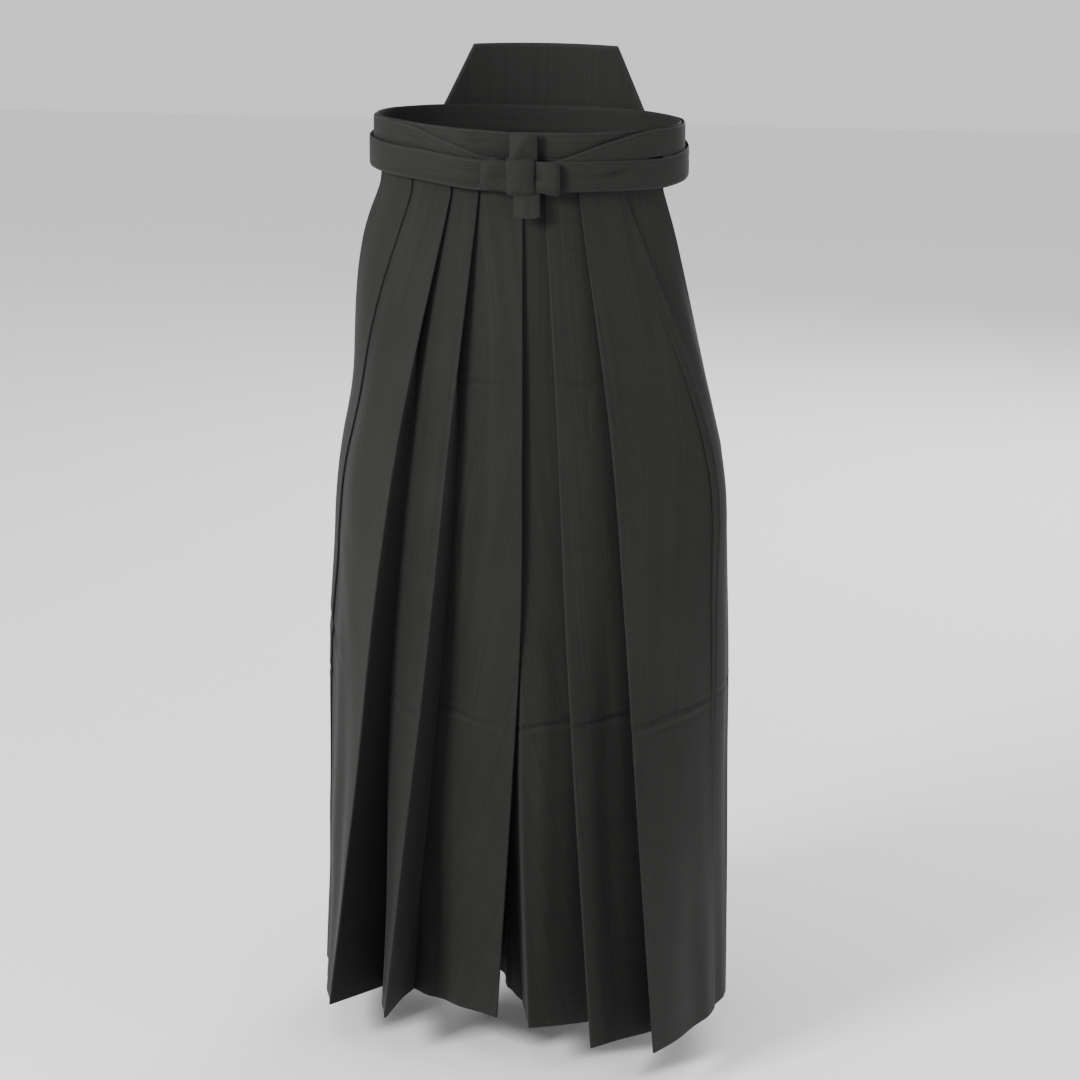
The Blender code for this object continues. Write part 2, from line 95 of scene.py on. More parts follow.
# Shader and geometry trees


class Wire:
    # One output of a node. Arithmetic on it adds Math nodes to its tree.
    def __init__(self, tree, node=None, output=0):
        self.tree = tree
        self.node = node
        self.output = output

    def out(self, output):
        return Wire(self.tree, self.node, output)

    def add(self, kind, settings=None, inputs=None, output=0):
        made = self.tree.nodes.new(kind)
        for name, value in (settings or {}).items():
            setattr(made, name, value)
        for name, value in (inputs or {}).items():
            if isinstance(value, Wire):
                self.tree.links.new(value.node.outputs[value.output], made.inputs[name])
            else:
                made.inputs[name].default_value = value
        return Wire(self.tree, made, output)

    def maths(self, operation, first, second):
        return self.add("ShaderNodeMath", {"operation": operation}, {0: first, 1: second})

    def __add__(self, other):
        return self.maths("ADD", self, other)

    def __radd__(self, other):
        return self.maths("ADD", other, self)

    def __sub__(self, other):
        return self.maths("SUBTRACT", self, other)

    def __rsub__(self, other):
        return self.maths("SUBTRACT", other, self)

    def __mul__(self, other):
        return self.maths("MULTIPLY", self, other)

    def __rmul__(self, other):
        return self.maths("MULTIPLY", other, self)


weave = {
    "pitch": 0.42 * mm,  # from one thread to the next
    "threadHeight": 0.05 * mm,
    "tonePatches": 9.0,
    # uneven threads: cycles a metre across and along the cloth, and their share of the tone
    "slubs": ((1300.0, 60.0, 0.5), (60.0, 1300.0, 0.5)),
    "streaks": ((480.0, 4.0, 0.6), (14.0, 560.0, 0.2)),
    # tone from dark to light: its middle, and the shares of what changes it; fold lightens pressed fold edges,
    # partly as wear and partly as a painted highlight
    "tone": {"middle": 0.46, "threads": 0.8, "patches": 0.45, "crossing": 0.05, "fold": 0.05},
    "height": {"crossing": 0.5, "threads": 1.6, "streaks": 0.8},
    "bumpStrength": 0.7,
    "sheen": 0.03,
    "sheenRoughness": 0.45,
    "gloss": 0.16,
}
finishes = {
    "hakamaCloth": {"dark": (0.005, 0.005, 0.0047), "light": (0.0166, 0.0165, 0.0155), "roughness": 0.8},
    "beltCloth": {"dark": (0.0053, 0.0052, 0.0049), "light": (0.0172, 0.0171, 0.0161), "roughness": 0.77},
    "boardCloth": {"dark": (0.0052, 0.0051, 0.0048), "light": (0.0169, 0.0168, 0.0158), "roughness": 0.76},
}
threadLook = {
    "dark": (0.006, 0.006, 0.0056),
    "light": (0.017, 0.0168, 0.0158),
    "roughness": 0.55,
    "twists": 2600.0,
}
madeFinishes = {}


def finishMaterial(name):
    material = bpy.data.materials.new(name)
    material.use_nodes = True
    material.node_tree.nodes.clear()
    return material, Wire(material.node_tree)


def mixed(wire, share, dark, light):
    return wire.add("ShaderNodeMix", {"data_type": "RGBA"}, {0: share, 6: (*dark, 1.0), 7: (*light, 1.0)}, 2)


def noiseAt(wire, where, scale, detail):
    return wire.add("ShaderNodeTexNoise", {}, {"Vector": where, "Scale": scale, "Detail": detail})


def bumped(wire, height, strength, distance):
    return wire.add("ShaderNodeBump", {}, {"Height": height, "Strength": strength, "Distance": distance})


def shaded(wire, looks):
    shader = wire.add("ShaderNodeBsdfPrincipled", {}, looks)
    wire.add("ShaderNodeOutputMaterial", {}, {"Surface": shader})


def uneven(wire, across, along, kinds):
    # Threads that are thicker and thinner along their length, as one number round 0
    total = 0.0
    for i, (fineness, length, share) in enumerate(kinds):
        spot = {"X": across * fineness, "Y": along * length, "Z": 3.7 * i + share}
        place = wire.add("ShaderNodeCombineXYZ", {}, spot)
        total = (noiseAt(wire, place, 1.0, 2.0) - 0.5) * share + total
    return total


def clothFinish(name):
    # Plain weave on the cut's own map: crossing threads, uneven threads both ways, and fold edges lightened,
    # partly as wear and partly as a painted highlight
    look = finishes[name]
    material, wire = finishMaterial(name)
    cut = wire.add("ShaderNodeUVMap", {"uv_map": "cut"})
    parts = wire.add("ShaderNodeSeparateXYZ", {}, {0: cut})
    across, along = parts.out("X"), parts.out("Y")
    turns = math.pi / weave["pitch"]
    warp = wire.add("ShaderNodeMath", {"operation": "SINE"}, {0: across * turns})
    weft = wire.add("ShaderNodeMath", {"operation": "SINE"}, {0: along * turns})
    crossing = warp * weft
    threads, streaks = (uneven(wire, across, along, weave[kind]) for kind in ("slubs", "streaks"))
    where = wire.add("ShaderNodeTexCoord", {}, {}, "Object")
    patches = noiseAt(wire, where, weave["tonePatches"], 4.0)
    # Mask of pressed fold edges. Their lighter colour is partly wear and partly a painted highlight.
    fold = wire.add("ShaderNodeAttribute", {"attribute_name": "foldEdge"}, {}, "Fac")
    share = weave["tone"]
    tone = share["middle"] + threads * share["threads"] + streaks + (patches - 0.5) * share["patches"]
    tone = tone + crossing * share["crossing"] + fold * share["fold"]
    rise = weave["height"]
    height = crossing * rise["crossing"] + threads * rise["threads"] + streaks * rise["streaks"]
    looks = {
        "Base Color": mixed(wire, tone, look["dark"], look["light"]),
        "Roughness": look["roughness"] - fold * 0.05 + threads * 0.15,
        "Normal": bumped(wire, height, weave["bumpStrength"], weave["threadHeight"]),
        "Sheen Weight": weave["sheen"],
        "Sheen Roughness": weave["sheenRoughness"],
        "Specular IOR Level": weave["gloss"],
    }
    shaded(wire, looks)
    madeFinishes[name] = material


def threadFinish():
    material, wire = finishMaterial("sewingThread")
    where = wire.add("ShaderNodeTexCoord", {}, {}, "Object")
    twist = noiseAt(wire, where, threadLook["twists"], 1.0)
    looks = {
        "Base Color": mixed(wire, twist, threadLook["dark"], threadLook["light"]),
        "Roughness": threadLook["roughness"] + twist * 0.2,
        "Normal": bumped(wire, twist, 0.6, 0.04 * mm),
        "Sheen Weight": 0.2,
    }
    shaded(wire, looks)
    madeFinishes["sewingThread"] = material


def floorFinish():
    material, wire = finishMaterial("paleFloor")
    where = wire.add("ShaderNodeTexCoord", {}, {}, "Object")
    grain = noiseAt(wire, where, 3.0, 3.0)
    low = tuple(value * 0.985 for value in studio["floorColour"])
    colour = mixed(wire, grain, low, studio["floorColour"])
    shaded(wire, {"Base Color": colour, "Roughness": 0.9})
    return material


def layFloor():
    half = studio["floorWidth"] / 2
    z = studio["floorHeight"]
    mesh = bpy.data.meshes.new("floor")
    corners = [(-half, -half, z), (half, -half, z), (half, half, z), (-half, half, z)]
    mesh.from_pydata(corners, [], [(0, 1, 2, 3)])
    mesh.materials.append(floorFinish())
    floor = bpy.data.objects.new("floor", mesh)
    bpy.context.scene.collection.objects.link(floor)


setCamera()
setLights()
layFloor()
for finishName in finishes:
    clothFinish(finishName)
threadFinish()
print("camera, lights, floor and finishes made")

# Sizes that all pieces share

levels = np.array((6.5, 33.0, 50.0, 70.0, 94.0)) * cm  # belt edge, opening end, crotch, knee, hem
openingLevel = 1  # places of the opening's end and of the crotch in levels
crotchLevel = 2
waist = {
    "halfWidth": 15.2 * cm,
    "halfDepth": 11.6 * cm,
    "layer": 1.7 * mm,  # from one pleat layer to the next under the belt
    "frontTop": 0.3 * cm,
    "backTop": 3.33 * cm,
}
sewing = {
    "wall": 0.7 * mm,
    "column": 4.6 * mm,
    "row": 5.0 * mm,
    "fineRow": 1.9 * mm,
    "fineDrops": ((25.6 * cm, 0.9 * cm), (60.4 * cm, 2.6 * cm)),  # storage creases: drop and half height
    "foldLine": 0.9 * mm,  # how far the lighter line of a pressed fold reaches, partly wear and partly painted highlight
    "foldRoundness": 0.9,
    "sharpFrom": math.radians(64),
    "seamGap": 0.1 * mm,
    "tuckReturn": 9.0 * mm,
    "tuckAtBelt": 3.0 * mm,
    "tuckAtHem": 2.0 * mm,
    "edgeRounding": 1.4 * mm,
    "hemTurn": 36.0 * mm,
    "hemWall": 0.55 * mm,
}
foldKinds = ("tip", "valley")
hips = {"halfWidth": 20 * cm, "halfDepth": 13 * cm}  # oval that says which way is outwards


def unit(vector):
    return vector / np.maximum(np.linalg.norm(vector, axis=-1, keepdims=True), 1e-9)


def leftOf(vector):
    return np.stack((-vector[..., 1], vector[..., 0]), axis=-1)


def eased(value, low, high):
    t = np.clip((value - low) / (high - low), 0.0, 1.0)
    return t * t * (3 - 2 * t)


def onWaist(x, outwards, side):
    # Plan point on the waist's oval at this x, moved out; side is -1 in front and 1 behind
    depth = waist["halfDepth"] + outwards
    share = min(abs(x) / (waist["halfWidth"] + outwards), 1.0)
    return np.array((x, side * depth * math.sqrt(1 - share**2)))


def hermite(values, slopes, place, t, span):
    t = t[:, None] if values.ndim == 2 else t[None, :, None]
    span = span[:, None] if values.ndim == 2 else 1.0
    axis = 0 if values.ndim == 2 else 1
    start, end = np.take(values, place, axis), np.take(values, place + 1, axis)
    leaving, arriving = np.take(slopes, place, axis), np.take(slopes, place + 1, axis)
    return (
        (1 + 2 * t) * (1 - t) ** 2 * start
        + t * t * (3 - 2 * t) * end
        + t * (1 - t) ** 2 * span * leaving
        + t * t * (t - 1) * span * arriving
    )


def throughLevels(knots, values, drops):
    # Plan points of one fold at all drops, on a smooth curve through its table's points
    slopes = np.gradient(values, knots, axis=0)
    at = np.clip(drops, knots[0], knots[-1])
    place = np.clip(np.searchsorted(knots, at, side="right") - 1, 0, len(knots) - 2)
    span = knots[place + 1] - knots[place]
    return hermite(values, slopes, place, (at - knots[place]) / span, span)


def foldColumns(folds, side):
    # Each fold, and the points between two folds, as a kind and plan points at the levels
    columns = []
    half = 0.5 if folds[0][0] == "side" else -0.5
    for fold, following in zip(folds, folds[1:] + (None,)):
        kind, layer, beltX, *lower, more, bulge = fold
        points = [onWaist(beltX * cm, layer * waist["layer"], side)]
        columns.append((kind, np.array(points + [np.array(p) * cm for p in lower])))
        if following is None:
            continue
        startLayer = layer - (half if kind in foldKinds else 0.0)
        endLayer = following[1] + (half if following[0] in foldKinds else 0.0)
        for k in range(more):
            share = (k + 1) / (more + 1)
            x = (beltX + (following[2] - beltX) * share) * cm
            between = [onWaist(x, (startLayer + (endLayer - startLayer) * share) * waist["layer"], side)]
            for here, there in zip(lower, following[3:7]):
                chord = np.array(there, float) - np.array(here, float)
                out = -leftOf(unit(chord)) * bulge * 4 * share * (1 - share)
                between.append((np.array(here) + chord * share + out) * cm)
            columns.append(("between", np.array(between)))
    return columns


def plainColumns(columns, drops):
    lines = []
    for kind, points in columns:
        split = {"side": openingLevel, "centre": crotchLevel}.get(kind)
        if split is None:
            lines.append(throughLevels(levels, points, drops))
            continue
        upper = throughLevels(levels[: split + 1], points[: split + 1], drops)
        lower = throughLevels(levels[split:], points[split:], drops)
        lines.append(np.where((drops < levels[split])[:, None], upper, lower))
    return np.stack(lines, axis=1)


def roundTurn(end, start, pointing):
    # Points of a pressed fold's round edge between two layers
    middle = (end + start) / 2
    radius = np.linalg.norm(start - end, axis=1, keepdims=True) / 2
    turns = (math.pi / 4, math.pi / 2, 3 * math.pi / 4)
    reach = pointing * radius * sewing["foldRoundness"]
    return [middle + (end - middle) * math.cos(t) + reach * math.sin(t) for t in turns]


def panelParts(columns, drops):
    # The panel's runs of smooth cloth, the folds' turns between them, and which of these carry the lighter
    # fold line, partly wear and partly painted highlight
    plain = plainColumns(columns, drops)
    runs = [[]]
    turns = []
    shown = []
    share = np.clip((drops - levels[0]) / (levels[-1] - levels[0]), 0.0, 1.0)[:, None]
    tuck = sewing["tuckAtBelt"] + (sewing["tuckAtHem"] - sewing["tuckAtBelt"]) * share

    def turnTo(start, pointing, shows=False):
        turns.append(roundTurn(runs[-1][-1], start, pointing))
        shown.append(shows)
        runs.append([start])

    for i, (kind, _) in enumerate(columns):
        here = plain[:, i]
        if kind in ("side", "centre", "between"):
            runs[-1].append(here)
            continue
        arriving = unit(here - plain[:, i - 1])
        leaving = unit(plain[:, i + 1] - here)
        if kind in foldKinds:
            pointing = unit(arriving - leaving)
            across = leftOf(pointing) * waist["layer"] / 2 * (1 if kind == "tip" else -1)
            runs[-1].append(here - across)
            turnTo(here + across, pointing, kind == "tip")
        elif kind == "edge":
            reach = sewing["edgeRounding"]
            before, after = here - arriving * reach, here + leaving * reach
            runs[-1].append(before)
            bend = [before * (1 - t) ** 2 + here * 2 * t * (1 - t) + after * t**2 for t in (0.25, 0.5, 0.75)]
            turns.append(bend)
            shown.append(False)
            runs.append([after])
        else:
            along = unit(plain[:, i + 1] - plain[:, i - 1])
            inwards = leftOf(along) * tuck
            under = -along * sewing["tuckReturn"]
            runs[-1].append(here)
            turnTo(here + inwards / 2, along, True)
            runs[-1].append(here + under + inwards / 2)
            turnTo(here + under + inwards, -along)
    return runs, turns, shown


def sampledRun(controls, count, startsAtFold, endsAtFold):
    # Points along a smooth run, with one more beside each pressed fold, and how much lighter fold line, partly
    # wear and partly painted highlight, each one gets
    controls = np.stack(controls, axis=1)
    last = controls.shape[1] - 1
    at = np.linspace(0.0, last, count)
    lengths = np.linalg.norm(np.diff(controls, axis=1), axis=2).mean(axis=0)
    worn = np.zeros(count)
    if endsAtFold:
        at = np.insert(at, -1, last - min(sewing["foldLine"] / lengths[-1], 0.4))
        worn = np.append(worn, 1.0)
    if startsAtFold:
        at = np.insert(at, 1, min(sewing["foldLine"] / lengths[0], 0.4))
        worn = np.insert(worn, 0, 1.0)
    at = np.sort(at)
    place = np.minimum(at.astype(int), last - 1)
    return hermite(controls, np.gradient(controls, axis=1), place, at - place, None), worn


def panelLine(columns, drops):
    # Fine plan lines of a panel at all drops, and how much lighter fold line, partly wear and partly painted
    # highlight, each column gets
    runs, turns, shown = panelParts(columns, drops)
    pieces = []
    worn = []
    for i, run in enumerate(runs):
        length = sum(np.linalg.norm(b - a, axis=1) for a, b in zip(run, run[1:])).max()
        count = max(int(length / sewing["column"]) + 1, 4)
        line, wearAndHighlight = sampledRun(run, count, i > 0 and shown[i - 1], i < len(turns) and shown[i])
        pieces.append(line)
        worn.append(wearAndHighlight)
        if i < len(turns):
            pieces.append(np.stack(turns[i], axis=1))
            worn.append(np.full(len(turns[i]), float(shown[i])))
    return np.concatenate(pieces, axis=1), np.concatenate(worn)


def drawnBack(line, end, beyond, where):
    # Draws one end of every line back, so that it just meets the neighbour's cloth
    inner = 1 if end == 0 else -2
    towards = unit(line[:, end] - line[:, inner])
    onwards = unit(beyond - line[:, end])
    halfTurn = np.arccos(np.clip((towards * onwards).sum(axis=1), -1.0, 1.0)) / 2
    pull = sewing["seamGap"] / 2 + sewing["wall"] / 2 * np.tan(np.minimum(halfTurn, math.radians(60)))
    line[:, end] -= towards * (pull * where)[:, None]


# Creases: each one is a face, a path of (across, height) points in centimetres, a width and a depth
# in millimetres. "across" is x on the front and back, and y on the sides. A depth below 0 is a ridge.

creaseForm = {
    "shoulder": 0.35,  # height beside a trough, as a share of its depth
    "shoulderAt": 2.0,  # widths from the middle
    "fadesIn": 0.22,  # shares of the path
    "fadesOut": 0.72,
    "atEnds": 0.12,  # share of the depth that is left at the ends
}


def creaseDepth(across, height, path, width, depth):
    path = np.array(path) * cm
    lengths = np.linalg.norm(np.diff(path, axis=0), axis=1)
    whole = lengths.sum()
    nearest = np.full(across.shape, 9.9)
    travelled = np.zeros(across.shape)
    begun = 0.0
    for start, end, length in zip(path, path[1:], lengths):
        ahead = (end - start) / length
        ax, az = across - start[0], height - start[1]
        t = np.clip(ax * ahead[0] + az * ahead[1], 0.0, length)
        away = np.hypot(ax - ahead[0] * t, az - ahead[1] * t)
        closer = away < nearest
        nearest = np.where(closer, away, nearest)
        travelled = np.where(closer, begun + t, travelled)
        begun += length
    q = nearest / (width * mm)
    form = creaseForm
    gone = eased(travelled, whole * form["fadesOut"], whole)
    fade = eased(travelled, 0.0, whole * form["fadesIn"]) * (1 - gone)
    trough = np.exp(-(q**2)) - form["shoulder"] * np.exp(-((q - form["shoulderAt"]) ** 2))
    return trough * (form["atEnds"] + (1 - form["atEnds"]) * fade) * depth * mm


def outwardsAt(points):
    plan = (points[..., 0] / hips["halfWidth"] ** 2, points[..., 1] / hips["halfDepth"] ** 2)
    return unit(np.stack(plan, axis=-1))


def turnRound(points):
    # Angle round the hips, 0 in front
    return np.arctan2(points[..., 0] / hips["halfWidth"], -points[..., 1] / hips["halfDepth"])


drapeWaves = {
    "count": 9,
    "seed": 11,
    "size": 0.55 * mm,
    "hemSize": 1.5 * mm,
    "radius": 17 * cm,
    "across": (35, 120),  # radians a metre
    "along": (2.0, 12.0),
    "starts": (0.06, 0.2),  # drops in metres
    "grows": (0.2, 0.9),
}


def drapeDepth(points):
    # Shallow uneven hang of the cloth: it grows from the belt to the hem
    draw = np.random.default_rng(drapeWaves["seed"])
    distance = turnRound(points) * drapeWaves["radius"]
    total = np.zeros(distance.shape)
    for _ in range(drapeWaves["count"]):
        across, along = draw.uniform(*drapeWaves["across"]), draw.uniform(*drapeWaves["along"])
        phase, lean = draw.uniform(0, 2 * math.pi), draw.choice((-1, 1))
        total += np.sin(distance * across + points[..., 2] * along * lean + phase)
    fuller = eased(-points[..., 2], *drapeWaves["grows"])
    size = drapeWaves["size"] + (drapeWaves["hemSize"] - drapeWaves["size"]) * fuller
    return total / math.sqrt(drapeWaves["count"]) * size * eased(-points[..., 2], *drapeWaves["starts"])


# How far the cloth stands out at the sides: (height, distance) in centimetres. It grows and fades
# between angles round the hips.
sideFullness = {
    "grows": (28.0, 68.0),
    "fades": (100.0, 150.0),
    "smoothing": (-2.0, -1.0, 0.0, 1.0, 2.0),
    "right": (
        (-94, -0.7), (-84, -0.7), (-76, -0.3), (-60, -0.1), (-48, 0.0), (-43.5, 0.3), (-39.5, 0.65),
        (-35.5, 0.75), (-31.5, 0.45), (-27.5, 0.4), (-23, 0.85), (-20, 1.1), (-16.8, 1.3), (-13.7, 1.35),
        (-10.2, 1.15), (-6, 0.0),
    ),
    "left": (
        (-94, 0.0), (-85, 0.0), (-60, 0.2), (-52, 0.25), (-48, 0.35), (-43.5, 0.6), (-39.5, 0.9),
        (-35.5, 0.95), (-31.5, 0.75), (-23, 0.6), (-10, 0.4), (-6, 0.0),
    ),
}


def sideways(points):
    # Distance along x by which points near the sides move out
    turn = np.degrees(np.abs(turnRound(points)))
    near = eased(turn, *sideFullness["grows"]) * (1 - eased(turn, *sideFullness["fades"]))
    moved = np.zeros(near.shape)
    for side, way in (("right", -1), ("left", 1)):
        heights, outs = np.array(sideFullness[side]).T
        shifts = sideFullness["smoothing"]
        nearby = [np.interp(points[..., 2] / cm + shift, heights, outs) for shift in shifts]
        moved += np.mean(nearby, axis=0) * cm * way * (points[..., 0] * way > 0)
    return moved * near


# Faces that creases lie on: the axis across them, the axis they look along, which way, and from where
creaseFaces = {
    "front": (0, 1, -1, -0.02),
    "back": (0, 1, 1, 0.02),
    "rightSide": (1, 0, -1, 0.15),
    "leftSide": (1, 0, 1, 0.15),
}


def creased(points, creases):
    depth = drapeDepth(points)
    for face, path, width, amount in creases:
        across, looks, way, start = creaseFaces[face]
        facing = points[..., looks] * way > start
        depth = depth + creaseDepth(points[..., across], points[..., 2], path, width, amount) * facing
    moved = points.copy()
    moved[..., :2] -= outwardsAt(points) * depth[..., None]
    moved[..., 0] += sideways(points)
    return moved


# Thin closed shell round a grid of middle points


def gridNormals(grid):
    return unit(np.cross(np.gradient(grid, axis=0), np.gradient(grid, axis=1)))


def borderOf(rows, columns):
    # Grid places round the border, down the first column first
    down = [(r, 0) for r in range(rows)]
    along = [(rows - 1, c) for c in range(1, columns)]
    up = [(r, columns - 1) for r in range(rows - 2, -1, -1)]
    back = [(0, c) for c in range(columns - 2, 0, -1)]
    return np.array(down + along + up + back)


def shellPiece(name, grid, wall, cut, finish, folds, rim=0.2, inner=None):
    # wall: thickness; folds: how much lighter fold line, partly wear and partly painted highlight, each point
    # gets;
    # inner: how far the inner face lies from the middle where that isn't wall / 2
    rows, columns = grid.shape[:2]
    normals = gridNormals(grid)
    insideBy = np.full((rows, columns), wall / 2) if inner is None else inner
    outer = grid + normals * wall / 2
    inside = grid - normals * insideBy[..., None]
    border = tuple(borderOf(rows, columns).T)
    away = np.zeros_like(grid[border])
    for axis, last in ((0, rows - 1), (1, columns - 1)):
        outwards = unit(np.gradient(grid, axis=axis)[border])
        away += outwards * ((border[axis] == last) * 1.0 - (border[axis] == 0) * 1.0)[:, None]
    middle = grid[border] + unit(away) * wall * rim

    def throughout(values):
        # One row a point: both faces, then the rim
        flat = values.reshape(rows * columns, -1)
        return np.concatenate((flat, flat, values[border].reshape(len(middle), -1)))

    index = np.arange(rows * columns).reshape(rows, columns)
    corner = index[:-1, :-1].ravel()
    below = index[1:, :-1].ravel()
    beyond = index[1:, 1:].ravel()
    beside = index[:-1, 1:].ravel()
    shift = rows * columns
    outerFaces = np.stack((corner, below, beyond, beside), axis=1)
    innerFaces = np.stack((corner, beside, beyond, below), axis=1) + shift
    ring = index[border]
    following = np.roll(ring, -1)
    rimAt = np.arange(len(ring)) + 2 * shift
    rimNext = np.roll(rimAt, -1)
    upperRim = np.stack((following, ring, rimAt, rimNext), axis=1)
    lowerRim = np.stack((rimNext, rimAt, ring + shift, following + shift), axis=1)
    faces = np.concatenate((outerFaces, innerFaces, upperRim, lowerRim))
    points = np.concatenate((outer.reshape(-1, 3), inside.reshape(-1, 3), middle))
    mesh = bpy.data.meshes.new(name)
    mesh.from_pydata(points.tolist(), [], faces.tolist())
    layer = mesh.uv_layers.new(name="cut")
    layer.data.foreach_set("uv", throughout(cut)[faces.ravel()].ravel())
    # Lighter fold line for the finish: partly wear, partly painted highlight
    mesh.attributes.new("foldEdge", "FLOAT", "POINT").data.foreach_set("value", throughout(folds).ravel())
    mesh.shade_smooth()
    mesh.set_sharp_from_angle(angle=sewing["sharpFrom"])
    mesh.materials.append(madeFinishes[finish])
    mesh.validate()
    piece = bpy.data.objects.new(name, mesh)
    bpy.context.scene.collection.objects.link(piece)
    return piece


def alongRows(grid, reference):
    # Distance along the cloth of each grid point from the reference column
    steps = np.linalg.norm(np.diff(grid, axis=1), axis=2)
    run = np.concatenate((np.zeros((len(grid), 1)), np.cumsum(steps, axis=1)), axis=1)
    return run - run[:, [reference]]


def clothMap(grid, reference):
    drop = np.concatenate(((0.0,), np.cumsum(np.linalg.norm(np.diff(grid[:, reference], axis=0), axis=1))))
    return np.stack((alongRows(grid, reference), np.repeat(drop[:, None], grid.shape[1], axis=1)), axis=2)


# Stitches


def newTree(name, numbers, whole, material):
    # Tree that takes a geometry, numbers, a whole number and a material
    tree = bpy.data.node_groups.new(name, "GeometryNodeTree")
    kinds = {"Geometry": "Geometry", **dict.fromkeys(numbers, "Float"), whole: "Int", material: "Material"}
    for socket, kind in kinds.items():
        tree.interface.new_socket(socket, in_out="INPUT", socket_type="NodeSocket" + kind)
    tree.interface.new_socket("Geometry", in_out="OUTPUT", socket_type="NodeSocketGeometry")
    wire = Wire(tree)
    return tree, wire, wire.add("NodeGroupInput")


def closeTree(wire, geometry, material):
    solid = wire.add("GeometryNodeRealizeInstances", {}, {"Geometry": geometry})
    dressed = wire.add("GeometryNodeSetMaterial", {}, {"Geometry": solid, "Material": material})
    wire.add("NodeGroupOutput", {}, {"Geometry": dressed})


def stitchTree():
    # Rows of short threads along the edges of a mesh of polylines
    tree, wire, given = newTree("stitchRow", ("Spacing", "Length", "Thickness"), "Seed", "Thread")
    rows = wire.add("GeometryNodeMeshToCurve", {}, {"Mesh": given.out("Geometry")})
    spacing = {"Curve": rows, "Length": given.out("Spacing")}
    spots = wire.add("GeometryNodeResampleCurve", {"mode": "LENGTH"}, spacing)
    ball = wire.add("GeometryNodeMeshUVSphere", {}, {"Segments": 6, "Rings": 5, "Radius": 0.5})
    thick, length = given.out("Thickness"), given.out("Length")
    size = wire.add("ShaderNodeCombineXYZ", {}, {"X": thick, "Y": thick, "Z": length})
    stitch = wire.add("GeometryNodeTransform", {}, {"Geometry": ball, "Scale": size})
    tangent = wire.add("GeometryNodeInputTangent")
    turn = wire.add("FunctionNodeAlignRotationToVector", {"axis": "Z"}, {"Vector": tangent})
    spread = {2: 0.86, 3: 1.08, "Seed": given.out("Seed")}
    uneven = wire.add("FunctionNodeRandomValue", {"data_type": "FLOAT"}, spread, 1)
    where = {"Points": spots, "Instance": stitch, "Rotation": turn, "Scale": uneven}
    closeTree(wire, wire.add("GeometryNodeInstanceOnPoints", {}, where), given.out("Thread"))
    return tree


stitchRow = stitchTree()
threadSizes = {
    "spacing": 3.6 * mm,
    "length": 2.5 * mm,
    "thickness": 0.34 * mm,
    "lift": 0.08 * mm,
    "seed": 5,
    "hemSpacing": 9 * mm,
    "hemLength": 1.1 * mm,
    "aboveHemEdge": 3 * mm,
    "belowBelt": 2 * mm,
}


def grown(name, tree, points, edges, values, vectors=None):
    # Plain mesh that a tree makes from a guide of points and edges
    guide = bpy.data.meshes.new(name + "Guide")
    guide.from_pydata([tuple(p) for p in points], edges, [])
    for key, rows in (vectors or {}).items():
        kind = "FLOAT_VECTOR" if np.ndim(rows) == 2 else "FLOAT"
        field = "vector" if kind == "FLOAT_VECTOR" else "value"
        guide.attributes.new(key, kind, "POINT").data.foreach_set(field, np.ravel(rows))
    holder = bpy.data.objects.new(name + "Guide", guide)
    bpy.context.scene.collection.objects.link(holder)
    modifier = holder.modifiers.new(name, "NODES")
    modifier.node_group = tree
    for item in tree.interface.items_tree:
        if item.in_out == "INPUT" and item.name in values:
            modifier[item.identifier] = values[item.name]
    graph = bpy.context.evaluated_depsgraph_get()
    mesh = bpy.data.meshes.new_from_object(holder.evaluated_get(graph), depsgraph=graph)
    mesh.name = name
    holder.modifiers.remove(modifier)
    bpy.data.objects.remove(holder)
    mesh.shade_smooth()
    piece = bpy.data.objects.new(name, mesh)
    bpy.context.scene.collection.objects.link(piece)
    return piece


def stitches(name, paths, slot, spacing=threadSizes["spacing"], length=threadSizes["length"]):
    points = []
    edges = []
    for path in paths:
        edges += [(len(points) + i, len(points) + i + 1) for i in range(len(path) - 1)]
        points += list(path)
    values = {
        "Spacing": spacing,
        "Length": length,
        "Thickness": threadSizes["thickness"],
        "Seed": threadSizes["seed"],
        "Thread": madeFinishes["sewingThread"],
    }
    return declared(grown(name, stitchRow, points, edges, values))


def stitchFace(grid, wall):
    # A shell's outer face, with room for the thread
    return grid + gridNormals(grid) * (wall / 2 + threadSizes["lift"])


def nodeOf(name):
    # Name of the solid that a piece stands for
    return "".join("_" + letter.lower() if letter.isupper() else letter for letter in name)


def declared(piece, node=None):
    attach(piece, "root")
    if node is not None:
        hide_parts(node)
    return piece


def taken(rows, field, size=1):
    # One field of all rows of a mesh's part
    values = np.zeros(len(rows) * size)
    rows.foreach_get(field, values)
    return values if size == 1 else values.reshape(-1, size)


def sheetOf(piece, restsOn):
    # The cut's own map is as large as the cloth laid flat: its reach is the sheet's width and length
    mesh = piece.data
    reach = np.ptp(taken(mesh.uv_layers["cut"].data, "uv", 2), axis=0)
    width, length = float(max(reach[0], 0.0101)), float(max(reach[1], 0.0101))
    area = min(float(taken(mesh.polygons, "area").sum()) / 2, width * length)
    print("sheet", piece.name, round(width, 3), round(length, 3), round(area, 4))


# Panels. Each fold: kind, layer outwards at the belt, x at the belt, then (x, y) at the opening's
# end, the crotch, the knee and the hem, points up to the next fold, and their bulge. Centimetres.

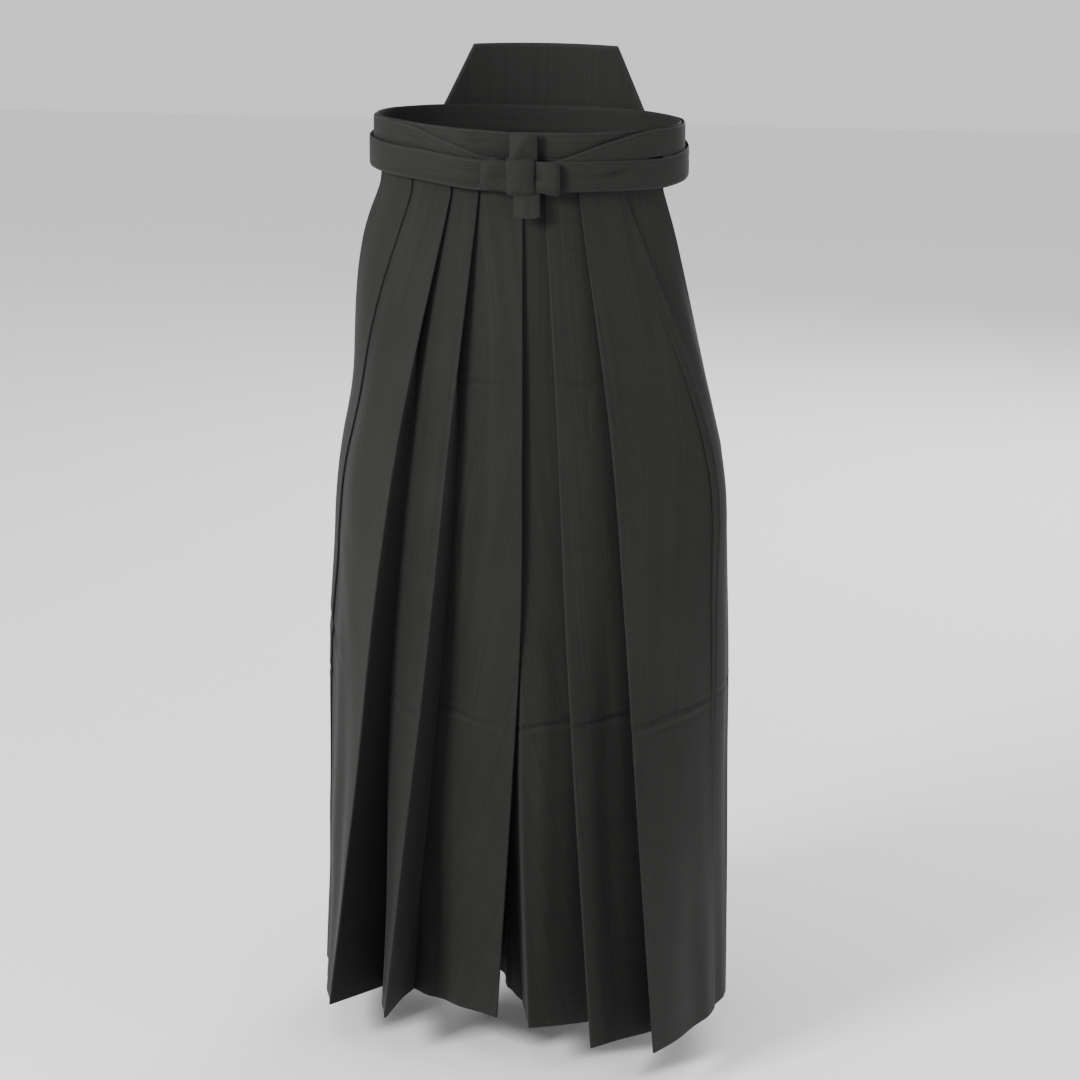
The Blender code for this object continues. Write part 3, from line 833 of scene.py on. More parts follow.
frontRight = {
    "side": -1,
    "folds": (
        ("side", 4, -14.6, (-19.6, 1.5), (-22.0, 3.5), (-23.0, 5.0), (-24.4, 6.5), 1, 0.2),
        ("tuck", 4, -10.8, (-17.8, -4.5), (-20.8, -1.8), (-21.9, -0.4), (-23.2, 1.0), 3, 0.5),
        ("tip", 3.5, -6.4, (-11.9, -12.8), (-14.4, -12.9), (-16.7, -12.4), (-20.2, -11.5), 1, 0.0),
        ("valley", 2.5, -9.2, (-10.7, -10.9), (-12.6, -9.9), (-14.2, -8.0), (-15.8, -5.0), 3, 0.1),
        ("tip", 1.5, -3.5, (-6.4, -13.8), (-8.2, -14.4), (-10.5, -14.7), (-13.4, -14.6), 1, 0.0),
        ("valley", 0.5, -6.1, (-5.8, -11.7), (-7.2, -11.0), (-9.2, -9.4), (-12.5, -5.6), 1, 0.0),
        ("between", 0, -3.5, (-3.5, -12.5), (-4.6, -12.1), (-6.2, -11.2), (-8.5, -8.1), 0, 0.0),
        ("between", 2, -2.0, (-1.9, -13.7), (-2.4, -13.4), (-3.6, -12.6), (-5.5, -10.2), 1, 0.1),
        ("tip", 1.5, 1.0, (1.3, -14.0), (1.2, -14.2), (0.0, -13.6), (-1.7, -12.5), 1, 0.0),
        ("valley", 0.5, -1.9, (-1.9, -13.1), (-2.1, -12.8), (-3.2, -11.2), (-5.0, -8.5), 0, 0.0),
        ("centre", 0, -1.0, (-0.9, -12.7), (-1.2, -12.3), (-4.0, -8.3), (-7.0, -2.0), 0, 0.0),
    ),
    "creases": (
        ("front", ((-13.2, -59.3), (-11.2, -60.1), (-8.8, -60.9)), 3.3, 2.1),
        ("front", ((-12.4, -60.7), (-11.2, -61.1), (-9.6, -61.6)), 3.6, -1.0),
        ("front", ((-10.4, -59.9), (-8.4, -60.2), (-5.3, -61.0), (-0.6, -61.8)), 3.0, 1.9),
        ("front", ((-9.0, -61.1), (-6.3, -61.5), (-4.6, -61.9)), 3.4, -0.6),
        ("front", ((-6.4, -25.7), (-2.0, -25.5), (1.4, -25.8)), 2.6, 1.1),
        ("front", ((-2.5, -26.0), (-3.4, -32.3), (-5.0, -38.4), (-5.5, -42.0), (-5.7, -49.0)), 2.2, 1.5),
        ("front", ((-2.3, -38.0), (-2.3, -52.0), (-2.6, -62.0)), 7.0, 0.7),
        ("front", ((-6.6, -66.0), (-6.9, -78.0), (-7.4, -92.0)), 6.0, 0.9),
        ("front", ((-4.3, -64.0), (-4.8, -74.0), (-5.6, -90.0)), 7.0, -0.9),
        ("front", ((-19.4, -42.0), (-18.2, -50.0), (-17.6, -56.0)), 9.0, -0.9),
        ("front", ((-22.8, -52.0), (-21.6, -54.3), (-19.2, -58.4)), 3.4, 1.2),
        ("front", ((-19.6, -60.0), (-19.4, -72.0), (-19.8, -88.0)), 13.0, 0.6),
        ("front", ((-21.0, -58.0), (-21.2, -70.0), (-21.9, -90.0)), 9.0, -0.5),
        ("rightSide", ((-3.0, -60.2), (2.0, -59.7), (5.5, -60.2)), 3.0, 0.8),
        ("front", ((-11.9, -64.0), (-12.4, -76.0), (-13.0, -90.0)), 8.0, 0.7),
    ),
}
frontLeft = {
    "side": -1,
    "folds": (
        ("centre", 0, -1.0, (-0.9, -12.7), (-1.2, -12.3), (-0.4, -9.6), (0.2, -7.0), 0, 0.0),
        ("edge", 0, 1.0, (1.1, -13.2), (1.2, -13.7), (1.4, -14.5), (2.2, -15.1), 2, 0.1),
        ("valley", 0.5, 6.4, (7.0, -12.6), (7.8, -12.5), (9.2, -12.3), (10.6, -11.2), 1, 0.0),
        ("tip", 1.5, 3.4, (5.3, -14.6), (6.3, -16.2), (7.7, -18.0), (9.5, -19.7), 2, 0.1),
        ("valley", 2.5, 9.7, (12.0, -12.0), (13.4, -12.6), (15.0, -12.6), (16.8, -11.8), 1, 0.0),
        ("tip", 3.5, 6.8, (10.8, -14.2), (12.4, -16.0), (14.1, -18.2), (16.1, -20.1), 3, 0.4),
        ("tuck", 4, 11.0, (19.6, -8.0), (20.6, -7.4), (20.5, -6.8), (20.9, -6.2), 1, 0.1),
        ("side", 4, 14.4, (19.5, -2.6), (20.9, -1.8), (21.2, -1.2), (21.3, -0.8), 0, 0.0),
    ),
    "creases": (
        ("front", ((-0.6, -62.1), (3.2, -61.3), (6.6, -61.0), (8.6, -61.0)), 2.6, 1.9),
        ("front", ((5.4, -60.5), (9.7, -60.0), (12.9, -59.5), (14.4, -59.2)), 2.8, 2.0),
        ("front", ((11.6, -60.15), (15.7, -59.85), (18.4, -59.3), (21.2, -58.95)), 2.4, 1.2),
        ("front", ((11.4, -60.75), (14.7, -60.45), (17.6, -59.95), (20.6, -59.4)), 3.2, -1.7),
        ("front", ((3.6, -25.0), (6.4, -25.3), (9.4, -25.7)), 2.6, 1.2),
        ("front", ((7.97, -25.6), (8.0, -31.0)), 2.2, 0.9),
        ("front", ((4.4, -46.0), (4.9, -58.0), (5.4, -90.0)), 7.0, 0.8),
        ("front", ((10.1, -46.0), (10.5, -68.0), (11.4, -91.0)), 8.0, 1.0),
        ("front", ((3.0, -63.0), (3.4, -75.0), (3.9, -91.0)), 6.0, -0.6),
        ("front", ((15.0, -48.0), (15.6, -70.0), (16.8, -90.0)), 9.0, 0.8),
        ("front", ((17.4, -44.0), (17.9, -66.0), (18.6, -91.0)), 9.0, -0.9),
        ("leftSide", ((-7.0, -59.2), (-3.0, -58.6), (1.0, -58.9)), 3.0, 0.9),
        ("front", ((13.4, -33.0), (15.4, -40.0), (18.6, -45.0)), 10.0, -0.9),
    ),
}
backLeft = {
    "side": 1,
    "folds": (
        ("side", 2, 12.4, (19.5, -2.6), (20.9, -1.8), (21.2, -1.2), (21.3, -0.8), 5, 2.6),
        ("tip", 1.5, 1.8, (4.4, 14.8), (5.4, 16.8), (6.3, 19.2), (7.4, 21.6), 2, 0.0),
        ("valley", 0.5, 5.8, (6.2, 10.2), (7.0, 11.6), (8.2, 13.4), (9.6, 15.4), 3, 0.1),
        ("centre", 0, 0.0, (0.0, 11.8), (0.0, 12.8), (-0.6, 14.4), (-1.6, 16.0), 0, 0.0),
    ),
    "creases": (
        ("back", ((20.0, -60.4), (15.0, -61.2), (9.0, -60.8), (4.5, -61.4)), 3.0, 1.6),
        ("back", ((5.0, -61.0), (1.0, -61.6), (-2.0, -61.3)), 2.8, 1.0),
        ("back", ((17.0, -26.0), (12.0, -26.6), (7.0, -26.2)), 3.2, 0.6),
        ("back", ((16.8, -30.0), (17.4, -46.0), (17.0, -64.0)), 9.0, 1.4),
        ("back", ((12.6, -40.0), (13.2, -60.0), (13.6, -88.0)), 11.0, 1.6),
        ("back", ((9.4, -50.0), (9.9, -72.0), (10.4, -92.0)), 8.0, -1.2),
        ("back", ((18.8, -52.0), (19.0, -70.0), (19.2, -90.0)), 9.0, -1.2),
        ("back", ((2.6, -44.0), (2.4, -64.0), (2.2, -90.0)), 7.0, 0.8),
        ("back", ((14.6, -18.0), (15.6, -24.0), (16.4, -31.0)), 8.0, -0.9),
        ("leftSide", ((-1.0, -59.0), (4.0, -59.6), (9.0, -60.6)), 3.0, 1.1),
    ),
}
backRight = {
    "side": 1,
    "folds": (
        ("centre", 0, 0.0, (0.0, 11.8), (0.0, 12.8), (-3.0, 14.0), (-5.8, 14.4), 3, 0.1),
        ("valley", 0.5, -5.8, (-6.4, 10.2), (-8.2, 11.6), (-10.8, 13.4), (-13.4, 14.8), 2, 0.0),
        ("tip", 1.5, -1.8, (-4.4, 14.8), (-6.2, 16.8), (-8.6, 19.0), (-11.4, 20.8), 5, 2.4),
        ("side", 2, -12.4, (-19.6, 1.5), (-22.0, 3.5), (-23.0, 5.0), (-24.4, 6.5), 0, 0.0),
    ),
    "creases": (
        ("back", ((-22.4, -60.0), (-17.0, -61.3), (-11.0, -60.7), (-6.5, -61.5)), 3.0, 1.6),
        ("back", ((-7.0, -61.2), (-4.0, -61.7), (-1.0, -61.2)), 2.8, 1.0),
        ("back", ((-17.4, -25.6), (-12.4, -26.5), (-7.0, -26.0)), 3.2, 0.6),
        ("back", ((-17.6, -32.0), (-18.4, -47.0), (-18.8, -63.0)), 9.0, 1.5),
        ("back", ((-13.2, -38.0), (-14.6, -60.0), (-16.8, -90.0)), 11.0, 1.5),
        ("back", ((-10.4, -52.0), (-12.0, -72.0), (-14.0, -92.0)), 8.0, -1.2),
        ("back", ((-20.2, -50.0), (-21.0, -68.0), (-22.2, -91.0)), 9.0, -1.3),
        ("back", ((-3.4, -46.0), (-5.0, -66.0), (-7.6, -91.0)), 7.0, 0.8),
        ("back", ((-15.0, -17.0), (-16.2, -24.0), (-17.0, -30.0)), 8.0, -0.9),
        ("rightSide", ((4.0, -60.2), (9.0, -61.0), (13.0, -60.4)), 3.0, 1.1),
    ),
}
innerLegs = {
    "columns": 46,
    "right": ((-0.6, 1.0), (-5.0, 3.5), (-8.2, 6.0)),  # the panel's middle at crotch, knee and hem
    "left": ((-0.6, 1.0), (-2.7, 3.5), (-4.8, 6.0)),
    "creases": (
        ("back", ((-9.0, -60.6), (-4.0, -61.2), (0.0, -60.9)), 3.0, 0.8),
        ("front", ((-9.0, -60.8), (-4.0, -61.3), (2.0, -60.9)), 3.0, 0.8),
    ),
}


frontInner = {"right": -1, "left": 0}  # the column of each front and back that the inner leg is sewn to
backInner = {"right": 0, "left": -1}


def dropRows():
    # Heights of the rows, closer together across the storage creases
    stretches = []
    for start, end in (
        (waist["frontTop"], waist["backTop"]),
        (waist["backTop"], levels[crotchLevel]),
        (levels[crotchLevel], levels[-1]),
    ):
        rows = [start]
        while rows[-1] < end:
            fine = any(abs(rows[-1] - drop) < reach for drop, reach in sewing["fineDrops"])
            rows.append(rows[-1] + (sewing["fineRow"] if fine else sewing["row"]))
        rows = np.array(rows)
        stretches.append((start + (rows - start) * (end - start) / (rows[-1] - start))[:-1])
    backRow = len(stretches[0])
    return np.concatenate(stretches + [levels[-1:]]), backRow, backRow + len(stretches[1])


def innerLegLines(front, back, leg, drops):
    points = np.array(innerLegs[leg]) * cm
    middle = throughLevels(levels[crotchLevel:], points, drops)[:, None]
    start, end = front[:, [frontInner[leg]]], back[:, [backInner[leg]]]
    t = np.linspace(0.0, 1.0, innerLegs["columns"])[None, :, None]
    line = start * (1 - t) * (1 - 2 * t) + middle * 4 * t * (1 - t) + end * t * (2 * t - 1)
    line[0, :, 0] += (sewing["wall"] + sewing["seamGap"]) / 2 * (-1 if leg == "right" else 1)
    return line


def panelPiece(name, line, drops, creases, nearness):
    height = np.repeat(-drops[:, None], line.shape[1], axis=1)[..., None]
    grid = creased(np.concatenate((line, height), axis=2), creases)
    folds = np.repeat(nearness[None, :], len(drops), axis=0)
    # The hem is turned up inside: one more layer of cloth there
    extra = eased(drops, levels[-1] - sewing["hemTurn"] - 1 * mm, levels[-1] - sewing["hemTurn"] + 1 * mm)
    inner = np.repeat((sewing["wall"] / 2 + extra * sewing["hemWall"])[:, None], line.shape[1], axis=1)
    cut = clothMap(grid, line.shape[1] // 2)
    piece = shellPiece(name, grid, sewing["wall"], cut, "hakamaCloth", folds, inner=inner)
    return declared(piece, nodeOf(name)), grid


def panelStitches(name, grid, drops, column):
    # A row beside the side opening, from the belt to its end, and one above the hem
    face = stitchFace(grid, sewing["wall"])
    aboveHem = levels[-1] - sewing["hemTurn"] + threadSizes["aboveHemEdge"]
    at = levels[0] + threadSizes["belowBelt"], levels[openingLevel], aboveHem
    start, end, hem = np.searchsorted(drops, at)
    sewn = stitches(name + "EdgeStitches", [face[start:end, column]], "cloth")
    hemSizes = threadSizes["hemSpacing"], threadSizes["hemLength"]
    return [sewn, stitches(name + "HemStitches", [face[hem]], "cloth", *hemSizes)]


def legPanels():
    drops, backRow, crotchRow = dropRows()
    cuts = {"frontRight": frontRight, "frontLeft": frontLeft, "backLeft": backLeft, "backRight": backRight}
    order = list(cuts)
    lines = {}
    folds = {}
    for name, panel in cuts.items():
        lines[name], folds[name] = panelLine(foldColumns(panel["folds"], panel["side"]), drops)
    lower = {name: line[crotchRow:] for name, line in lines.items()}
    legs = {}
    for leg, side in (("right", "Right"), ("left", "Left")):
        legs[leg] = innerLegLines(lower["front" + side], lower["back" + side], leg, drops[crotchRow:])
    closedSide = (drops >= levels[openingLevel]).astype(float)
    always = np.ones(len(drops))
    drawn = {name: line.copy() for name, line in lines.items()}
    for i, name in enumerate(order):
        leg = "right" if name.endswith("Right") else "left"
        before = lines[order[i - 1]][:, -2].copy()
        after = lines[order[(i + 1) % len(order)]][:, 1].copy()
        startsAtCentre = name in ("frontLeft", "backRight")
        beside = before if startsAtCentre else after
        beside[crotchRow:] = legs[leg][:, 1 if name.startswith("front") else -2]
        drawnBack(drawn[name], 0, before, always if startsAtCentre else closedSide)
        drawnBack(drawn[name], -1, after, closedSide if startsAtCentre else always)
    pieces = {}
    for name in order:
        first = backRow if name.startswith("back") else 0
        rows = drops[first:]
        pieces[name], grid = panelPiece(name, drawn[name][first:], rows, cuts[name]["creases"], folds[name])
        sewn = panelStitches(name, grid, rows, 1 if cuts[name]["folds"][0][0] == "side" else -2)
        sheetOf(pieces[name], ["belt_front_band"])
        print(name, "made")
    for leg, line in legs.items():
        side = leg.capitalize()
        always = np.ones(len(line))
        for end, panel, inner in ((0, "front", frontInner[leg]), (-1, "back", backInner[leg])):
            drawnBack(line, end, lower[panel + side][:, 1 if inner == 0 else -2], always)
        name = "innerLeg" + side
        piece, grid = panelPiece(name, line, drops[crotchRow:], innerLegs["creases"], np.zeros(line.shape[1]))
        sheetOf(piece, [pieces["front" + side]])
        print(name, "made")
    return pieces


panels = legPanels()

# Belts: strips of folded cloth, swept along a path by one tree


def stored(wire, geometry, name, value, settings=None):
    rows = {"Geometry": geometry, "Name": name, "Value": value}
    return wire.add("GeometryNodeStoreNamedAttribute", settings, rows)


def named(wire, name, kind="FLOAT"):
    return wire.add("GeometryNodeInputNamedAttribute", {"data_type": kind}, {"Name": name})


def stripTree():
    # A flat strip with soft edges. The guide's points carry facing, the way its outer side looks, and
    # fullness, how much of the whole width it has there.
    numbers = ("Width", "Thickness", "Edge Softness")
    tree, wire, given = newTree("foldedStrip", numbers, "Section Points", "Cloth")
    path = wire.add("GeometryNodeMeshToCurve", {}, {"Mesh": given.out("Geometry")})
    facing = named(wire, "facing", "FLOAT_VECTOR")
    path = wire.add("GeometryNodeSetCurveNormal", {"mode": "FREE"}, {"Curve": path, "Normal": facing})
    path = stored(wire, path, "run", wire.add("GeometryNodeSplineParameter", {}, {}, "Length"))
    circle = {"Resolution": given.out("Section Points"), "Radius": 1.0}
    ring = wire.add("GeometryNodeCurvePrimitiveCircle", {}, circle)
    spot = wire.add("ShaderNodeSeparateXYZ", {}, {0: wire.add("GeometryNodeInputPosition")})
    fromMiddle = spot.out("Y").maths("ABSOLUTE", spot.out("Y"), 0)
    flatness = spot.maths("POWER", fromMiddle, given.out("Edge Softness"))
    side = spot.maths("SIGN", spot.out("X"), 0)
    across = spot.out("Y") * given.out("Width") * 0.5
    depth = side * (1 - flatness) * given.out("Thickness") * 0.5
    section = wire.add("ShaderNodeCombineXYZ", {}, {"X": depth, "Y": across})
    # The soft edges also carry the lighter fold line in the cloth's colour, partly wear and partly painted
    # highlight
    ring = stored(wire, stored(wire, ring, "across", across), "foldEdge", flatness)
    ring = wire.add("GeometryNodeSetPosition", {}, {"Geometry": ring, "Position": section})
    sweep = {"Curve": path, "Profile Curve": ring, "Scale": named(wire, "fullness"), "Fill Caps": True}
    strip = wire.add("GeometryNodeCurveToMesh", {}, sweep)
    cut = wire.add("ShaderNodeCombineXYZ", {}, {"X": named(wire, "across"), "Y": named(wire, "run")})
    strip = stored(wire, strip, "cut", cut, {"data_type": "FLOAT2", "domain": "CORNER"})
    closeTree(wire, strip, given.out("Cloth"))
    return tree


foldedStrip = stripTree()


def strip(name, path, across, width, thickness, deform, fullness=1.0, softness=4.0):
    # Swept strip; deform moves its points, given as (points, run, across), after the sweep
    path = np.array(path)
    tangent = unit(np.gradient(path, axis=0))
    facing = unit(np.cross(tangent, np.broadcast_to(across, path.shape)))
    full = fullness * np.ones(len(path))
    values = {
        "Width": width,
        "Thickness": thickness,
        "Edge Softness": softness,
        "Section Points": 64,
        "Cloth": madeFinishes["beltCloth"],
    }
    edges = [(i, i + 1) for i in range(len(path) - 1)]
    piece = grown(name, foldedStrip, path, edges, values, {"facing": facing, "fullness": full})
    mesh = piece.data
    run, side = (taken(mesh.attributes[key].data, "value") for key in ("run", "across"))
    mesh.vertices.foreach_set("co", deform(taken(mesh.vertices, "co", 3), run, side).ravel())
    mesh.update()
    mesh.set_sharp_from_angle(angle=sewing["sharpFrom"])
    return piece


belt = {
    "wall": 1.95 * mm,
    "layer": 2.1 * mm,
    "frontLift": 4.4 * mm,
    "sideLift": 7.8 * mm,
    "backLift": -8.3 * mm,
    "outsideBoard": 5.6 * mm,
    "liftAngles": (9.0, 22.0),
    "sideAngles": (70.0, 122.0),
    "knotX": 1.1 * cm,
    "step": 0.9,  # degrees from one section to the next
    "smoothing": 2.5,  # degrees over which a bend in the table is rounded
    "stitchInset": 1.9 * mm,
    "stitchHeight": 0.78,  # share of the half thickness, near the soft edge
    "softness": 9.0,
    "creaseShoulder": 0.4,
    "creaseShoulderAt": 1.9,
    "creaseFade": 1.5,
    "backTop": (
        (-140, -0.35), (-100, -1.6), (-55, -1.95), (-33, -2.1), (-12, -2.75), (30, -2.8), (60, -3.05),
        (100, -2.45), (140, -0.35),
    ),
}
# Top edge of each belt: (angle round the waist from the front, height in centimetres). Creases: angle,
# share of the width from the bottom, length in degrees, rise in shares, width and depth in millimetres.
belts = {
    "beltFrontBand": {
        "layer": 0,
        "angles": (-180.0, 180.0),
        "width": 2.9 * cm,
        "top": ((-179, -0.4), (-100, 0.35), (-50, 0.55), (-30, 0.4), (0, 0.05), (100, 0.0), (179, -0.4)),
        "creases": (
            (-14, 0.55, 22, -0.35, 1.7, 0.3),
            (24, 0.5, 20, 0.4, 1.8, 0.3),
            (70, 0.6, 14, 0.1, 1.6, 0.2),
        ),
    },
    "beltWrapRight": {
        "layer": 1,
        "angles": (-180.0, 180.0),
        "width": 2.9 * cm,
        "top": (
            (-179, -0.6), (-100, 0.1), (-56, 0.5), (-40, 0.15), (-21, -1.4), (-12, -2.4), (4, -3.1),
            (30, -2.95), (60, -3.2), (100, -2.6), (179, -1.0),
        ),
        "creases": (
            (-33, 0.62, 26, -0.1, 1.6, 0.4),
            (-26, 0.35, 20, 0.1, 1.8, 0.3),
            (120, 0.5, 24, 0.1, 2.0, 0.3),
        ),
    },
    "beltWrapLeft": {
        "layer": 2,
        "angles": (-180.0, 180.0),
        "width": 2.9 * cm,
        "top": (
            (-179, -1.0), (-100, -1.75), (-55, -2.1), (-33, -2.25), (-12, -2.9), (4, -3.2), (18, -2.65),
            (34, -1.15), (46, -0.35), (56, 0.0), (100, -0.1), (179, -0.6),
        ),
        "creases": (
            (30, 0.66, 24, 0.1, 1.6, 0.35),
            (40, 0.4, 22, 0.05, 1.8, 0.3),
            (-60, 0.5, 20, 0.1, 2.0, 0.3),
        ),
    },
    "beltBackRight": {
        "layer": 3,
        "angles": (-137.5, 4.05),
        "width": 3.1 * cm,
        "top": belt["backTop"],
        "creases": (
            (-30, 0.64, 26, -0.08, 2.2, 0.55),
            (-20, 0.36, 18, 0.1, 2.0, 0.4),
            (-50, 0.38, 22, 0.1, 2.2, 0.4),
            (-95, 0.5, 22, -0.2, 2.4, 0.4),
        ),
    },
    "beltBackLeft": {
        "layer": 3,
        "angles": (4.25, 137.5),
        "width": 3.1 * cm,
        "top": belt["backTop"],
        "creases": (
            (37.5, 0.4, 15, -0.12, 1.9, 1.9),
            (27, 0.3, 14, -0.1, 2.0, 0.4),
            (50, 0.7, 20, 0.1, 2.0, 0.4),
            (95, 0.5, 22, 0.2, 2.4, 0.4),
        ),
    },
}


def beltOffset(angle, layer):
    # How far the middle of a belt's layer stands outside the waist's oval
    turn = np.abs(angle)
    front = belt["frontLift"] + (belt["sideLift"] - belt["frontLift"]) * eased(turn, *belt["liftAngles"])
    back = eased(turn, *belt["sideAngles"])
    height = layer * belt["layer"] + belt["wall"] / 2
    if layer == 3:
        return (front + height) * (1 - back) + belt["outsideBoard"] * back
    return front * (1 - back) + belt["backLift"] * back + height


def aroundWaist(angle, outwards, z):
    turn = np.radians(angle)
    x = (waist["halfWidth"] + outwards) * np.sin(turn)
    y = -(waist["halfDepth"] + outwards) * np.cos(turn)
    return np.stack(np.broadcast_arrays(x, y, z), axis=-1)


def heightThrough(table, angle):
    # Straight from row to row of the table, with rounded bends
    angles, heights = np.array(table).T
    near = [np.interp(angle + turn, angles, heights) for turn in np.linspace(-1, 1, 9) * belt["smoothing"]]
    return np.mean(near, axis=0) * cm


def beltMiddle(cut, angle):
    middle = heightThrough(cut["top"], angle) - cut["width"] / 2
    return aroundWaist(angle, beltOffset(angle, cut["layer"]), middle)


def beltCreases(cut):
    def deform(points, run, across):
        out = unit(points[:, :2] / np.array((waist["halfWidth"], waist["halfDepth"])) ** 2)
        angle = np.degrees(np.arctan2(points[:, 0] / waist["halfWidth"], -points[:, 1] / waist["halfDepth"]))
        share = across / cut["width"] + 0.5
        moved = points.copy()
        depth = np.zeros(len(points))
        for at, rowShare, length, rise, width, amount in cut["creases"]:
            along = (angle - at) / (length / 2)
            away = (share - rowShare - rise * along) * cut["width"] / (width * mm)
            shoulder = belt["creaseShoulder"] * np.exp(-((np.abs(away) - belt["creaseShoulderAt"]) ** 2))
            fade = np.exp(-(along**2) * belt["creaseFade"])
            depth += amount * mm * (np.exp(-(away**2)) - shoulder) * fade
        moved[:, :2] -= out * depth[:, None]
        return moved

    return deform


def beltPieces():
    made = {}
    for name, cut in belts.items():
        first, last = cut["angles"]
        path = beltMiddle(cut, np.linspace(first, last, int((last - first) / belt["step"]) + 1))
        creases = beltCreases(cut)
        piece = strip(name, path, (0, 0, 1), cut["width"], belt["wall"], creases, softness=belt["softness"])
        declared(piece, nodeOf(name))
        tangent = unit(np.gradient(path, axis=0))
        facing = unit(np.cross(tangent, (0, 0, 1)))
        upwards = np.cross(facing, tangent)
        rows = []
        for way in (-1, 1):
            reach = (cut["width"] / 2 - belt["stitchInset"]) * way
            out = belt["wall"] / 2 * belt["stitchHeight"] + threadSizes["lift"]
            row = path + upwards * reach + facing * out
            rows.append(creases(row, None, np.full(len(row), reach)))
        sewn = stitches(name + "Stitches", rows, "belt")
        sheetOf(piece, [panels["frontRight"], panels["frontLeft"]])
        made[name] = piece
        print(name, "made")
    return made


beltsMade = beltPieces()

# Knot. Distances and heights are in centimetres from the knot's middle line and the front top edge.

knot = {
    "seam": 0.3 * mm,
    "tailCloth": 1.15 * mm,
    "tailGap": 2.4 * mm,  # thickness of a folded tail
    "tailUp": {
        "from": -1.24, "to": 1.55, "fold": 0.1, "end": -4.2, "swell": 0.4, "lift": 0.0, "twist": 4.4,
    },
    "tailDown": {
        "from": -0.84, "to": 1.78, "fold": -8.35, "end": -4.25, "swell": 1.4, "lift": 7.5, "twist": 0.0,
    },
    "tailCrown": 0.9 * mm,
    "tailRidge": {"slant": 0.5, "at": 0.8, "above": 0.75, "below": 0.62},
    "corner": 1.6 * mm,  # how far a corner is rounded
    "bows": {
        "right": {
            "way": -1, "reach": 3.75, "middle": -4.05, "width": 2.8, "open": 3.0, "puff": 2.0,
            "full": (0.5, 0.85), "drop": 0.0,
        },
        "left": {
            "way": 1, "reach": 3.42, "middle": -4.4, "width": 3.2, "open": 4.4, "puff": 3.2,
            "full": (0.38, 0.56), "drop": 0.3,
        },
    },
    "bowNeck": 0.05,
    "bowOpens": (1.2, 2.6),
    "bowCloth": 1.5 * mm,
    "bowGap": 2.3 * mm,  # between the two layers' middles at the neck
    "bowDrawn": 1.8 * mm,
    "bowNarrows": 0.05,
    "fan": ((0.55, 0.12, 0.8), (-0.35, -0.1, 0.6), (1.3, 0.05, 0.5)),  # lean, place, depth in millimetres
    "fanWidth": 0.17,
    "fanMiddle": 0.45,
    "fanReach": 0.25,
    "neckMiddle": -4.25,
    "neckWidth": 3.05,
    "wrap": {
        "middle": -0.1, "half": 1.46, "top": -2.24, "bottom": -6.22, "cloth": 2.9, "corner": 6.0, "crown": 2.6,
    },
    "wrapPull": 0.7 * mm,
    "wrapRipple": 0.2 * mm,
    "wrapSoftness": 5.0,
    "curve": 20 * cm,  # radius of the waist in front
}


def knotAngle(distance):
    return np.degrees(np.arcsin((belt["knotX"] + np.asarray(distance) * cm) / waist["halfWidth"]))


def knotPoint(distance, outwards, z):
    # Place on the knot: outwards counts from the back belt's outer face
    angle = knotAngle(distance)
    face = beltOffset(angle, 3) + belt["wall"] / 2 + knot["seam"]
    return aroundWaist(angle, face + outwards, z)


knotAcross = unit(knotPoint(0.4, 0.0, 0.0) - knotPoint(-0.4, 0.0, 0.0))
knotOut = unit(knotPoint(0.0, 0.01, 0.0) - knotPoint(0.0, 0.0, 0.0))


def roundedBack(points, side):
    # Lets a flat strip follow the waist's curve across its width
    return points - knotOut * (side**2 / (2 * knot["curve"]))[:, None]


def knotPiece(piece, node=None):
    declared(piece, node or nodeOf(piece.name))
    sheetOf(piece, [beltsMade["beltBackLeft"]])


def tailPiece(name):
    cut = knot[name]
    way = 1 if cut["fold"] > cut["end"] else -1
    length = abs(cut["fold"] - cut["end"]) * cm
    near = knot["tailCloth"] / 2
    radius = (knot["tailGap"] - knot["tailCloth"]) / 2
    t = np.linspace(0.0, 1.0, 30)
    swell = cut["swell"] * mm * np.sin(np.clip(t * 1.15 - 0.15, 0, 1) * math.pi) ** 1.5
    lift = cut["lift"] * mm * t**2.2
    inner = np.stack((near + lift, t * (length - radius)), axis=1)
    outer = np.stack((near + 2 * radius + lift + swell, t * (length - radius)), axis=1)
    turn = np.radians(np.linspace(-90, 90, 11))[1:-1]
    over, beyond = near + lift[-1] + radius * (1 + np.sin(turn)), length - radius + radius * np.cos(turn)
    fold = np.stack((over, beyond), axis=1)
    profile = np.concatenate((inner, fold, outer[::-1]))
    middle = (cut["from"] + cut["to"]) / 2
    z = cut["end"] * cm + profile[:, 1] * way
    path = knotPoint(middle, profile[:, 0], z)
    width = (cut["to"] - cut["from"]) * cm

    def deform(points, run, side):
        # The visible layer is full in the middle. Twisted, it falls off both ways from a slanting ridge.
        height = (points[:, 2] - cut["end"] * cm) * way / length
        half = side / (width / 2) * way
        outerLayer = eased(run, run.max() * 0.4, run.max() * 0.6)
        crown = knot["tailCrown"] * (1 - half**2) * eased(height, 0.0, 0.5)
        form = knot["tailRidge"]
        beyond = half * form["slant"] - height + form["at"]
        above, below = np.clip(-beyond / form["above"], 0, 1), np.clip(beyond / form["below"], 0, 1)
        ridge = cut["twist"] * mm * (1 - above - below)
        corner = knot["corner"] * np.abs(half) ** 9 * eased(height, 0.8, 1.0)
        moved = roundedBack(points, side) + knotOut * ((crown + ridge) * outerLayer)[:, None]
        moved[:, 2] -= corner * way
        return moved

    piece = strip(name, path, knotAcross * -way, width, knot["tailCloth"], deform)
    knotPiece(piece, "knot_" + nodeOf(name))


